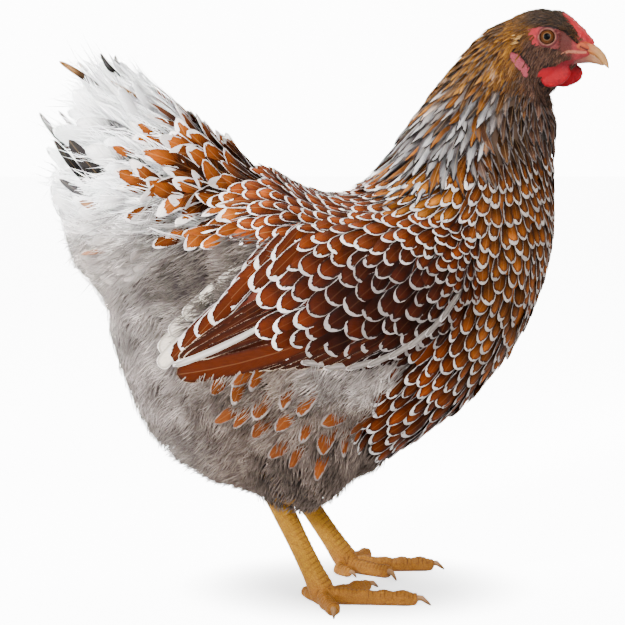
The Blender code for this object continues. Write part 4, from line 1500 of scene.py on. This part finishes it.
class HEN_OT_body_feathers(bpy.types.Operator):
    """Lay the laced feathers of breast, shoulders and back, one piece a side"""

    bl_idname = "hen.body_feathers"
    bl_label = "Laced body feathers"

    def execute(self, context):
        sizes = context.scene.hen_coat
        finish = vane_finish("laced_vanes", streak=0.8, shaft=0.04, under=0.62)
        for word, hand, rng in sides(sizes, 0):
            coat = Plumage()
            tract = Tract(hand, rng, 22000, (-75, 160, 55, 320), on_body, start=NECK_BASE)
            thin = 1 - 0.35 * ramp(-tract.at[:, 0] / MM, 10, 50)
            flat = 1 - 0.65 * ramp(tract.at[:, 0] / MM, 112, 134)
            laced(coat, tract, sizes.lace_width / MM * thin, lift=1.3 * flat)
            coat.grown("body_feathers_" + word, "scale", finish,
                       sizes.vane_thickness)
        return {"FINISHED"}


# Wing quills on the side: tip, root, half width, lift, and which of the four kinds.
QUILLS = [
    (-33, 226.5, -12, 250, 4, 3.4, "step"), (-43.5, 220.5, -22, 246, 4.4, 3, "step"),
    (-51.5, 217, -28, 243, 4.4, 2.4, "step"), (-35.5, 216, -10, 240, 5.2, 3.2, "step"),
    (-47, 209, -20, 234, 5.4, 2.9, "step"), (-58, 206.5, -30, 234, 5.4, 2.6, "step"),
    (-65, 196.5, -36, 226, 5.6, 2.4, "step"), (-72, 187, -42, 218, 5.8, 2.2, "step"),
    (-81, 178.5, -50, 210, 5.8, 2, "step"), (-91.5, 169.5, -60, 202, 5.8, 1.8, "step"),
    (-99.5, 161, -68, 192, 5.6, 1.6, "step"), (-66, 209, -46, 228, 4.6, 0.9, "pale"),
    (-78, 199, -56, 218, 5, 0.7, "pale"), (-89, 189, -66, 209, 5.2, 0.6, "pale"),
    (-98, 178, -75, 200, 5.2, 0.5, "pale"), (-104.5, 167, -83, 190, 5.2, 0.4, "pale"),
    (-105, 158.5, -84, 180, 4.8, 0.3, "pale"), (-86, 169, -30, 208, 3.8, 1, "thin"),
    (-93, 163.5, -34, 201, 3.8, 1.1, "thin"), (-90, 162.5, -30, 196, 3.6, 1, "thin"),
    (-86, 163.5, -24, 191, 3.4, 0.9, "thin"), (-80, 165, -20, 187, 3.2, 0.8, "thin"),
    (-97, 158.8, -34, 190, 2.1, 1.7, "strip"), (-94.5, 153.5, -6, 179, 7.2, 2, "long"),
    (-72, 155.5, 0, 174, 4, 1.2, "thin"), (-60, 157, 8, 178, 4, 0.9, "thin"),
    (-50, 158, 16, 181, 4, 0.6, "thin"), (-40, 159, 22, 184, 4, 0.6, "thin"),
    (-30, 159.5, 28, 186, 4, 0.6, "thin"), (-20, 160, 36, 187, 4.2, 0.6, "thin"),
    (-9, 160, 46, 188, 4.4, 0.6, "thin"), (3, 160, 54, 188, 4.4, 0.6, "thin"),
    (-16, 164, 14, 158.5, 1.9, 2.2, "brim"), (-2, 160, 28, 161.5, 1.9, 2.4, "brim"),
    (12, 159.5, 42, 166, 1.9, 2.6, "brim"), (25, 161.5, 54, 173, 1.9, 2.7, "brim"),
    (38, 166.5, 65, 182, 1.8, 2.8, "brim"), (50, 173, 74, 191, 1.8, 2.8, "brim"),
    (61, 180.5, 81, 201, 1.7, 2.8, "brim"), (70, 190, 86, 212, 1.6, 2.8, "brim"),
]
QUILL_LOOKS = {
    "step": ((0.054, 0.0086, 0.0011), (0.60, 0.545, 0.515), 3.1),
    "brim": ((0.25, 0.215, 0.19), (0.48, 0.43, 0.40), 0.6),
    "pale": (CREAM, (0.72, 0.66, 0.60), 0.6),
    "strip": ((0.52, 0.465, 0.415), (0.66, 0.61, 0.565), 0.4),
    "long": ((0.058, 0.0095, 0.0013), (0.26, 0.17, 0.10), 0.35),
    "thin": ((0.028, 0.0050, 0.0011), (0.40, 0.30, 0.21), 0.60),
}


def quills(coat, hand, rng):
    """The folded wing's secondaries, primaries and their pale inner vanes."""
    surface = shell()
    kinds = [q[6] for q in QUILLS]
    tx, tz, rx, rz, half, lift = np.array([q[:6] for q in QUILLS]).T
    out = np.array((0, hand, 0.0))
    tip = surface.side(tx * MM, tz * MM, hand) + out * (lift[:, None] * MM)
    inner = surface.side(rx * MM, rz * MM, hand)
    level = np.maximum(np.abs(tip[:, 1]), np.abs(inner[:, 1]) - 1.5 * MM)
    tip[:, 1] = np.where([k == "pale" for k in kinds], hand * level, tip[:, 1])
    bow = np.array([{"long": -2.4, "strip": -1.6}.get(kind, 1.2) for kind in kinds])
    mid = surface.side((tx + rx) / 2 * MM, ((tz + rz) / 2 + bow) * MM, hand)
    mid = mid + out * ((lift - 0.8)[:, None] * MM)
    sunk = np.array([{"long": 1.5, "strip": 1.0}.get(kind, 5.0) for kind in kinds])
    root = inner - out * (sunk[:, None] * MM)
    middle = mid * 2.0 - (tip + root) * 0.5
    side = rolled(unit(np.cross(out, unit(tip - root))), out, rng, 0.04)
    ground, edge, lace = (np.array([QUILL_LOOKS[k][i] for k in kinds]) for i in range(3))
    coat.add(root=root, middle=middle, tip=tip, side=side, half=half * MM, camber=0.10,
             lace=lace, tone=rng.random(len(tx)), ground=ground * shade_of(rng, len(tx), 0.1),
             edge=edge)


class HEN_OT_wings(bpy.types.Operator):
    """Lay the folded wings' quills and rows of coverts"""

    bl_idname = "hen.wings"
    bl_label = "Wings"

    def execute(self, context):
        sizes = context.scene.hen_coat
        finish = vane_finish("wing_vanes", shaft=0.012, edge_side=0.14, under=0.6)
        folded = vane_finish("quill_vanes", streak=0.9, dark_line=0.5, shaft=0.03,
                             edge_side=0.14, under=0.0)
        for word, hand, rng in sides(sizes, 1):
            coat = Plumage()
            tract = Tract(hand, rng, 9000, (-60, 115, 150, 268), on_wing, table=WING_LIE,
                          start=SHOULDER + (0, hand * 0.08, 0), across=0.72, along=0.84)
            laced(coat, tract, sizes.wing_lace_width / MM, depth=4.0, stretch=2.3, lift=2.2,
                  roll=0.14, turn=0.09)
            coat.grown("wing_coverts_" + word, "scale", finish,
                       sizes.vane_thickness)
            coat = Plumage()
            quills(coat, hand, rng)
            coat.grown("wing_quills_" + word, "quill", folded,
                       sizes.vane_thickness * 1.5)
        return {"FINISHED"}


def on_face(at):
    """Whether places bear the short feathers of crown, cheeks and throat."""
    x, _, z = (unturned(at) / MM).T
    return (x - 0.45 * (z - 350) > 116.5) & (z + 0.30 * (x - 140) > 322)


def feathered_face(at, owner):
    """Whether places of the face bear feathers: not the bare skin, wattles and lobes."""
    local = unturned(at)
    side = np.abs(local[:, 1] / MM)
    free = ~inside(local, BARE_FACE) & ~(inside(local, WATTLE) & (side > 6))
    ear = inside(local, EAR_LOBE) | inside(local, EAR_TUFT)
    return free & ~(ear & (side > 13)) & on_face(at)


def hackle_colours(at, rng):
    """Ground and edge colours of neck feathers by place, each feather a little different."""
    local = unturned(at) / MM
    x, z = local[:, 0], local[:, 2]
    pick = rng.random(len(at))
    upper = ramp(z + rng.normal(0, 7, len(at)), 302, 338)
    front = ramp(x - 0.35 * (z - 300), 100, 122)
    rusty = ramp(x, 92, 108) * (1 - ramp(z, 282, 312))
    crown = ramp(z, 368, 374) * ramp(x, 118, 138)
    cheek = ramp(x, 130, 136) * (1 - ramp(z, 358, 364))
    ground = layered(
        blend((0.54, 0.525, 0.525), (0.27, 0.255, 0.25), pick > 0.28),
        ((0.25, 0.078, 0.009), pick > 0.58),
        ((0.040, 0.028, 0.022), (pick > 0.84) * ramp(z, 268, 284)),
        (blend((0.46, 0.18, 0.018), (0.10, 0.040, 0.010), pick), upper),
        (blend(BREAST, (0.16, 0.12, 0.10), pick > 0.6), rusty),
        (blend((0.026, 0.017, 0.013), (0.12, 0.044, 0.010), pick), front),
        (blend((0.028, 0.025, 0.025), (0.085, 0.05, 0.030), pick), crown),
        (blend((0.050, 0.024, 0.018), (0.13, 0.062, 0.042), pick), cheek))
    edge = layered((0.012, 0.009, 0.008), ((0.13, 0.075, 0.035), 0.5 * upper * pick),
                   ((0.20, 0.17, 0.155), np.maximum(0.6 * rusty, 0.45 * front * (1 - upper))))
    return ground * shade_of(rng, len(at), 0.25), edge


# How many of some loose feathers there are on a side; the head turns the nape's left out.
NAPE_FEATHERS = {-1: 210, 1: 320}
EAR_FEATHERS = 380
BRISTLES = 420
TAIL_PLUMES = 480


class HEN_OT_hackle(bpy.types.Operator):
    """Lay the pointed hackle of the neck"""

    bl_idname = "hen.hackle"
    bl_label = "Hackle"

    def execute(self, context):
        sizes = context.scene.hen_coat
        finish = vane_finish("hackle_vanes", rough=0.6, dark_line=0.15, shaft=0.10, edge_side=1.0,
                             under=0.6)
        for word, hand, rng in sides(sizes, 2):
            coat = Plumage()
            self.neck(coat, hand, rng)
            self.nape(coat, hand, rng)
            coat.grown("hackle_" + word, "lance", finish,
                       sizes.vane_thickness)
        return {"FINISHED"}

    def neck(self, coat, hand, rng):
        """Pointed feathers down the neck, laid from the head's end."""
        tract = Tract(hand, rng, 26000, (10, 165, 245, 384),
                      lambda at, owner: ((owner == "neck") | (owner == "head")) & ~on_face(at),
                      table=HACKLE_LIE, start=np.array((0.16, 0, 0.38)), across=1.02,
                      surface=shell("neck"))
        size = tract.width / MM
        count = len(tract)
        ground, edge = hackle_colours(tract.at, rng)
        x, z = unturned(tract.at)[:, 0] / MM, tract.at[:, 2] / MM
        free = 0.25 + 0.45 * (1 - ramp(z, 262, 296))
        free = free * (1 - 0.65 * ramp(x - 0.35 * (z - 300), 100, 122))
        tract.laid(coat, tract.bare * 2.7 * rng.uniform(0.85, 1.15, count),
                   np.clip(size, 1.2, 7.0) * MM,
                   rng.uniform(0.3, 1.0, count) * free * size * MM,
                   tract.width * 0.62 * rng.uniform(0.8, 1.15, count), ground, edge,
                   lace=np.clip(size * 0.15, 0.10, 1.1), camber=0.45, turn=0.12, roll=0.32)

    def nape(self, coat, hand, rng):
        """Feathers from the back of the crown over the hollow above the neck."""
        where = (117, 131, 370.5, 384) if hand < 0 else (105, 128, 365, 384)
        tract = Tract(hand, rng, 12000, where,
                      lambda at, owner: on_face(at) | (unturned(at)[:, 0] > 0.112) & (hand > 0),
                      surface=shell("head"))
        tract.only(slice(0, NAPE_FEATHERS[hand]))
        count = len(tract)
        length = rng.uniform(8, 17, count)[:, None]
        root = tract.at - tract.normal * 0.6 * MM
        tip = root + unit(np.array([(-0.93, 0.0, -0.37)])) * length * MM
        base, out = shell("neck").near(tip)
        most = (0.5 + 0.27 * (17 - length)) * MM
        tip = base + out * np.clip(dot(tip - base, out), 0.3 * MM, most)
        middle = (root + tip) / 2 + (tract.normal + out) * 0.6 * MM
        ground, edge = hackle_colours(tip, rng)
        coat.add(root=root, middle=middle, tip=tip,
                 side=rolled(unit(np.cross(out, unit(tip - root))), out, rng, 0.3),
                 half=rng.uniform(0.6, 1.1, count) * MM, camber=0.4, lace=0.2,
                 tone=rng.random(count), ground=ground, edge=edge)


class HEN_OT_face_feathers(bpy.types.Operator):
    """Lay the short feathers of crown, cheeks and throat, the ear tufts and bristles"""

    bl_idname = "hen.face_feathers"
    bl_label = "Crown and cheeks"

    def execute(self, context):
        sizes = context.scene.hen_coat
        finish = vane_finish("face_vanes", rough=0.6, streak=0.7, dark_line=0.2, shaft=0.10,
                             edge_side=1.0, under=0.3)
        for word, hand, rng in sides(sizes, 5):
            coat = Plumage()
            self.short(coat, hand, rng)
            coat.grown("face_feathers_" + word, "short", finish, 0.10 * MM)
            coat = Plumage()
            self.ear_tuft(coat, hand, rng)
            self.bristles(coat, hand, rng)
            coat.grown("face_bristles_" + word, "short", finish, 0.08 * MM)
        return {"FINISHED"}

    def short(self, coat, hand, rng):
        """Crown, cheeks and throat, kept clear of the ear lobe."""
        tract = Tract(hand, rng, 30000, (60, 175, 318, 385), feathered_face,
                      start=np.array((0.175, 0, 0.37)), across=0.34, along=0.50,
                      surface=shell("head"))
        for back in (0.0012, 0.0025, 0.0038):
            step = unturned(tract.at - tract.way * back)
            tract.only(~(inside(step, EAR_LOBE) & (np.abs(step[:, 1]) > 0.013)))
        count = len(tract)
        size = tract.width / MM
        ground, edge = hackle_colours(tract.at, rng)
        tract.at = tract.at + tract.normal * 0.25 * MM
        tract.laid(coat, tract.bare * 2.2 * rng.uniform(0.8, 1.2, count), 0.25 * MM,
                   (0.15 + rng.uniform(0.1, 0.35, count) * size) * MM,
                   tract.width * 0.36 * rng.uniform(0.8, 1.2, count), ground, edge,
                   lace=0.12, camber=0.3, turn=0.14, roll=0.3)

    def ear_tuft(self, coat, hand, rng):
        """The pale tuft behind the eye."""
        tract = Tract(hand, rng, 2500, (118, 175, 330, 385),
                      lambda at, owner: inside(unturned(at), EAR_TUFT), surface=shell("head"))
        tract.only(slice(0, EAR_FEATHERS))
        pale = np.array((0.72, 0.40, 0.13)) * shade_of(rng, len(tract), 0.12)
        tract.at = tract.at + tract.normal * 0.9 * MM
        tract.laid(coat, rng.uniform(4.5, 7.0, len(tract)) * MM, 0.2 * MM,
                   rng.uniform(1.4, 3.0, len(tract)) * MM, 0.9 * MM, pale, pale, turn=0.10,
                   roll=0.15)

    def bristles(self, coat, hand, rng):
        """Fine dark bristles on the bare face, none at the eye."""
        tract = Tract(hand, rng, 9000, (118, 175, 330, 385),
                      lambda at, owner: inside(unturned(at), BARE_FACE)
                      & (unturned(at)[:, 0] < 0.168), surface=shell("head"))
        far = eye_gap(unturned(tract.at))
        tract.only(np.nonzero((far > 8.8) & (rng.random(len(far)) < 0.16))[0][:BRISTLES])
        dark = np.array((0.040, 0.022, 0.018)) * shade_of(rng, len(tract), 0.4)
        tract.laid(coat, rng.uniform(1.6, 2.8, len(tract)) * MM, 0.5 * MM,
                   rng.uniform(0.1, 0.4, len(tract)) * MM, 0.16 * MM, dark, dark,
                   camber=0.0, turn=0.3, roll=0.4)


# Loose tail feathers in side view: tip, root, half width, out from the middle, colour.
TAIL_QUILLS = [
    (-162, 301, -118, 255, 5.8, 15, (0.022, 0.019, 0.018)),
    (-171, 301, -142, 262, 2.8, 15, (0.024, 0.021, 0.020)),
    (-169, 276, -122, 246, 3.4, 15, (0.060, 0.056, 0.056)),
    (-181, 318, -150, 284, 2.2, 7, (0.26, 0.24, 0.23)),
    (-139, 338, -104, 318, 2.4, 8, (0.40, 0.17, 0.035)),
    (-168, 350, -140, 330, 2.2, 7, (0.34, 0.16, 0.06)),
    (-142, 355, -128, 338, 1.8, 7, (0.16, 0.15, 0.14)),
    (-156, 262, -112, 250, 3.6, 10, (0.30, 0.14, 0.06)),
    (-156, 228, -112, 240, 2.4, 12, (0.38, 0.17, 0.09)),
    (-158, 312, -112, 296, 6.5, 12, (0.90, 0.88, 0.86)),
    (-152, 334, -118, 306, 5.0, 8, (0.90, 0.88, 0.86)),
    (-152, 296, -104, 276, 8.0, 11, (0.88, 0.86, 0.84)),
]


class HEN_OT_tail(bpy.types.Operator):
    """Lay the rusty tail coverts and the loose pale tail"""

    bl_idname = "hen.tail"
    bl_label = "Tail"

    def execute(self, context):
        sizes = context.scene.hen_coat
        finish = vane_finish("tail_vanes", rough=0.6, streak=0.9, dark_line=0.25, shaft=0.05,
                             edge_side=0.16, under=0.75)
        webs = vane_finish("tail_webs", rough=0.7, streak=0.30, dark_line=0.0, shaft=0.05,
                           edge_side=0.8)
        plume = down_finish("tail_down")
        for word, hand, rng in sides(sizes, 3):
            for part, lay, kind, look, tuft in (
                    ("coverts", self.coverts, "covert", finish, 0.0),
                    ("webs", self.webs, "covert", webs, 0.0),
                    ("plumes", self.plumes, "plume", plume, 0.05),
                    ("quills", self.quills, "covert", finish, 0.0)):
                coat = Plumage()
                lay(coat, hand, rng)
                coat.grown("tail_%s_%s" % (part, word), kind, look,
                           sizes.vane_thickness, tuft)
        return {"FINISHED"}

    def coverts(self, coat, hand, rng):
        """Rusty laced coverts over the sides of the fan."""
        tract = Tract(hand, rng, 12000, (-145, -55, 215, 350), on_tail_coverts,
                      start=NECK_BASE, across=0.66, along=0.95)
        tract.only((tract.normal[:, 1] * hand > -0.2) | (tract.at[:, 0] > -0.085))
        laced(coat, tract, 3.2, depth=8.0, stretch=2.7, lift=6.5, roll=0.45, turn=0.30,
              vary=(0.1, 1.8))

    def webs(self, coat, hand, rng):
        """Broad pale feathers that close the fan."""
        tract = Tract(hand, rng, 5000, (-190, -80, 200, 360), on_pale_tail,
                      start=NECK_BASE, across=0.8, along=0.7)
        count = len(tract)
        ground = ground_colours(tract.at, tract.owner)[0] * shade_of(rng, count, 0.12)
        tract.laid(coat, rng.uniform(34, 52, count) * MM, 6 * MM,
                   rng.gamma(2.0, 2.6, count) * MM, rng.uniform(6.0, 9.5, count) * MM,
                   np.clip(ground, 0, 0.9), np.clip(ground * 1.15, 0, 0.92),
                   lace=3.0, camber=0.35, turn=0.22, roll=0.35)

    def plumes(self, coat, hand, rng):
        """Loose wispy feathers over the webs."""
        tract = Tract(hand, rng, 5000, (-190, -80, 195, 360), on_pale_tail)
        tract.only(slice(0, TAIL_PLUMES))
        count = len(tract)
        ground = ground_colours(tract.at, tract.owner)[0] * shade_of(rng, count, 0.14)
        tract.laid(coat, rng.uniform(34, 66, count) * MM, rng.uniform(1, 5, count) * MM,
                   rng.gamma(2.0, 2.8, count) * MM, rng.uniform(4, 9, count) * MM,
                   np.clip(ground * 0.8, 0, 0.9), np.clip(ground * 1.15, 0, 0.92),
                   camber=0.1, turn=0.25, roll=0.5)

    def quills(self, coat, hand, rng):
        """The few dark, rusty and white feathers that stand out one by one."""
        tx, tz, rx, rz, half, out, *tint = np.array([q[:6] + q[6] for q in TAIL_QUILLS]).T
        count = len(tx)
        away = np.array((0.0, hand, 0.0))
        tip = shell().side(tx * MM, tz * MM, hand) + away * out[:, None] * MM
        root = shell().side(rx * MM, rz * MM, hand) - away * 3.0 * MM
        bend = rng.normal(0, 3.0, (count, 3)) * MM
        tint = np.stack(tint, 1)
        coat.add(root=root, middle=(tip + root) / 2 + bend, tip=tip,
                 side=rolled(unit(np.cross(away, tip - root)), away, rng, 0.3), half=half * MM,
                 camber=0.15, lace=0.0, tone=rng.random(count), ground=tint, edge=tint)


def on_down(at, owner):
    neck = (owner == "neck") | (owner == "head")
    return ~(is_wing(owner) | neck | inside(at, LACED_FIELD) | on_tail_coverts(at, owner))


def clumps(at):
    """Soft swings between -1 and 1 by which down parts into clumps."""
    x, y, z = (at / 0.0085).T
    return (np.sin(x + 1.7 * np.sin(0.6 * z) + y) * np.sin(0.8 * z + 1.3 * np.sin(0.7 * x))
            + 0.5 * np.sin(2.1 * x + 1.1 * z - y)) / 1.5


class HEN_OT_down(bpy.types.Operator):
    """Lay the down of rear, belly and thighs"""

    bl_idname = "hen.down"
    bl_label = "Down"

    def execute(self, context):
        sizes = context.scene.hen_coat
        finish = down_finish("down")
        belly = vane_finish("belly_vanes", rough=0.7, streak=0.8, dark_line=0.0, shaft=0.04,
                            edge_side=0.6, under=0.3)
        for word, hand, rng in sides(sizes, 4):
            coat = Plumage()
            self.tufts(coat, hand, rng, sizes)
            for part in (0, 1):
                some = Plumage()
                for key, (rows,) in coat.rows.items():
                    some.rows[key] = [rows[part::2]]
                some.grown("down_%s_%d" % (word, part + 1), "tuft", finish,
                           0.02 * MM, 1.0)
            coat = Plumage()
            self.belly(coat, hand, rng)
            coat.grown("belly_feathers_" + word, "covert", belly,
                       sizes.vane_thickness)
        return {"FINISHED"}

    def tufts(self, coat, hand, rng, sizes):
        """Tufts of down that part into clumps, short on the thighs."""
        tract = Tract(hand, rng, int(sizes.down_count * 2.2), (-200, 60, 50, 300), on_down)
        tract.only(slice(0, sizes.down_count))
        count = len(tract)
        thigh = 1 - 0.60 * (1 - ramp(tract.at[:, 2] / MM, 66, 100))
        clump = clumps(tract.at)[:, None]
        tract.way = unit(tract.way + np.cross(tract.normal, tract.way) * clump * 0.55)
        ground = (ground_colours(tract.at, tract.owner)[0]
                  * np.exp(0.55 * clumps(tract.at + 0.013))[:, None])
        tract.laid(coat, sizes.down_length * rng.uniform(0.7, 1.2, count) * thigh,
                   rng.uniform(3, 8, count) * MM * thigh,
                   rng.gamma(2.0, 1.3, count) * MM * thigh, rng.uniform(1.6, 3.0, count) * MM,
                   ground * 0.38 * shade_of(rng, count, 0.3),
                   np.clip(ground * 1.5 * shade_of(rng, count, 0.3), 0, 0.9), camber=0.0,
                   turn=0.25, roll=0.2)

    def belly(self, coat, hand, rng):
        """Single rusty feathers over the belly's down."""
        tract = Tract(hand, rng, 9000, (-75, 45, 68, 165),
                      lambda at, owner: on_down(at, owner) & inside(at, RUSTY_FLUFF),
                      start=np.array((0.04, hand * 0.07, 0.17)), across=1.2, along=1.2)
        count = len(tract)
        rust = np.array((0.145, 0.036, 0.007)) * shade_of(rng, count, 0.25)
        tract.laid(coat, tract.bare * 3.0, 4 * MM, rng.uniform(6.0, 9.5, count) * MM,
                   tract.width * rng.uniform(0.34, 0.66, count), rust,
                   np.array((0.23, 0.19, 0.17)), lace=rng.uniform(0.5, 1.5, count),
                   camber=0.3, turn=0.3, roll=0.35)


# -------------------------------------------------------------------- stage

class HEN_PG_stage(bpy.types.PropertyGroup):
    """The studio round the bird."""

    key_power: bpy.props.FloatProperty(
        name="Key light", description="Power of the large soft key light", default=34.0,
        min=0.0, unit="POWER")
    sky: bpy.props.FloatProperty(
        name="Sky", description="Strength of the even light from all round", default=0.45,
        min=0.0)
    lens: bpy.props.FloatProperty(
        name="Lens", description="Focal length of the camera in millimetres",
        default=113.93, min=20.0)


FLOOR_HALF = 6.0
BACKDROP = 13.0             # strength of the world where the camera sees it
CAMERA_PLACE = (-0.0086, -1.30, 0.335)
CAMERA_DIP = 6.56           # degrees that the camera looks down
# Soft lights: name, place, what it points at, size and share of the key light's power.
LIGHTS = (
    ("key", (0.5, -1.5, 1.2), (0, 0, 0.20), (1.1, 0.9), 1.0),
    ("top", (0.1, 0.4, 1.5), (0, 0, 0.2), (1.2, 1.0), 0.7),
    ("fill", (-1.2, -1.3, 0.45), (0, 0, 0.2), (0.9, 0.9), 0.45),
    ("rim", (-1.1, 0.5, 1.0), (-0.12, 0, 0.27), (0.7, 0.7), 0.6),
)


def area_light(name, place, target, size, power):
    """A rectangular light at a place, pointed at another."""
    lamp = bpy.data.lights.new(name, "AREA")
    lamp.shape, lamp.size, lamp.size_y, lamp.energy = "RECTANGLE", size[0], size[1], power
    obj = bpy.data.objects.new(name, lamp)
    obj.location = place
    way = Vector(target) - Vector(place)
    obj.rotation_euler = way.to_track_quat("-Z", "Y").to_euler()
    bpy.context.scene.collection.objects.link(obj)
    return obj


class HEN_OT_stage(bpy.types.Operator):
    """Set up the pale floor, the soft lights and the camera"""

    bl_idname = "hen.stage"
    bl_label = "Studio"

    def execute(self, context):
        stage = context.scene.hen_stage
        mesh = bpy.data.meshes.new("floor")
        corners = ((-1, -1), (1, -1), (1, 1), (-1, 1))
        mesh.from_pydata([(x * FLOOR_HALF, y * FLOOR_HALF, 0) for x, y in corners], [],
                         [(0, 1, 2, 3)])

        def build(make, shader):
            at = make.get("ShaderNodeTexCoord", "Object", vector=True)
            x, y, z = make.split(at)
            # The floor glows for the camera so it reads as white, but less in an oval round the
            # feet: a painted contact shadow.
            near = ((x - 0.02) * (x - 0.02) * 60.0 + y * y * 90.0).least(1.0)
            floor_glow_and_painted_shadow = make.step(near, 0.0, 1.0) * 9.5 + 1.5
            seen = make.get("ShaderNodeLightPath", "Is Camera Ray")
            colour = make.join(1.0, 1.0, 1.0) * (floor_glow_and_painted_shadow * seen)
            feed(make, shader, Base_Color=(0.85, 0.85, 0.85, 1.0), Roughness=0.9,
                 Emission_Color=colour, Emission_Strength=1.0, Specular_IOR_Level=0.1)

        mesh.materials.append(finish_of("floor", build))
        show("floor", mesh)
        world = bpy.data.worlds.new("studio")
        world.use_nodes = True
        make = Maker(world.node_tree)
        back = world.node_tree.nodes["Background"]
        seen = make.get("ShaderNodeLightPath", "Is Camera Ray")
        strength = seen * (BACKDROP - stage.sky) + stage.sky
        world.node_tree.links.new(strength.socket, back.inputs["Strength"])
        back.inputs["Color"].default_value = (1, 1, 1, 1)
        context.scene.world = world
        for name, place, target, size, share in LIGHTS:
            area_light(name, place, target, size, stage.key_power * share)
        tail = area_light("tail", (-1.0, -0.9, 0.8), (-0.15, 0, 0.30), (0.3, 0.3), 2.3)
        tail.data.spread = math.radians(16)
        area_light("catch", (0.62, -1.2, 0.95), (0.14, 0, 0.36), (0.12, 0.12), 2.5)
        camera = bpy.data.cameras.new("camera")
        camera.lens, camera.sensor_width = stage.lens, 36.0
        holder = bpy.data.objects.new("camera", camera)
        holder.location = CAMERA_PLACE
        holder.rotation_euler = (math.radians(90 - CAMERA_DIP), 0, 0)
        context.scene.collection.objects.link(holder)
        context.scene.camera = holder
        return {"FINISHED"}


class HEN_PT_panel(bpy.types.Panel):
    """Lists the hen's pieces in the sidebar"""

    bl_idname = "HEN_PT_panel"
    bl_label = "Laced Hen"
    bl_space_type = "VIEW_3D"
    bl_region_type = "UI"
    bl_category = "Hen"

    def draw(self, context):
        layout = self.layout
        for group in (context.scene.hen_coat, context.scene.hen_stage):
            for key in group.bl_rna.properties.keys():
                if key not in ("rna_type", "name"):
                    layout.prop(group, key)
        for operator in PIECES:
            layout.operator(operator.bl_idname)


PIECES = (HEN_OT_skin, HEN_OT_horn, HEN_OT_eyes, HEN_OT_body_feathers, HEN_OT_wings,
          HEN_OT_hackle, HEN_OT_face_feathers, HEN_OT_tail, HEN_OT_down, HEN_OT_stage)
CLASSES = (HEN_PG_coat, HEN_PG_stage) + PIECES + (HEN_PT_panel,)


def register():
    for made in CLASSES:
        bpy.utils.register_class(made)
    bpy.types.Scene.hen_coat = bpy.props.PointerProperty(type=HEN_PG_coat)
    bpy.types.Scene.hen_stage = bpy.props.PointerProperty(type=HEN_PG_stage)


def unregister():
    del bpy.types.Scene.hen_coat
    del bpy.types.Scene.hen_stage
    for made in reversed(CLASSES):
        bpy.utils.unregister_class(made)


def main():
    register()
    for operator in PIECES:
        getattr(bpy.ops.hen, operator.bl_idname.split(".")[1])()


if __name__ == "__main__":
    main()
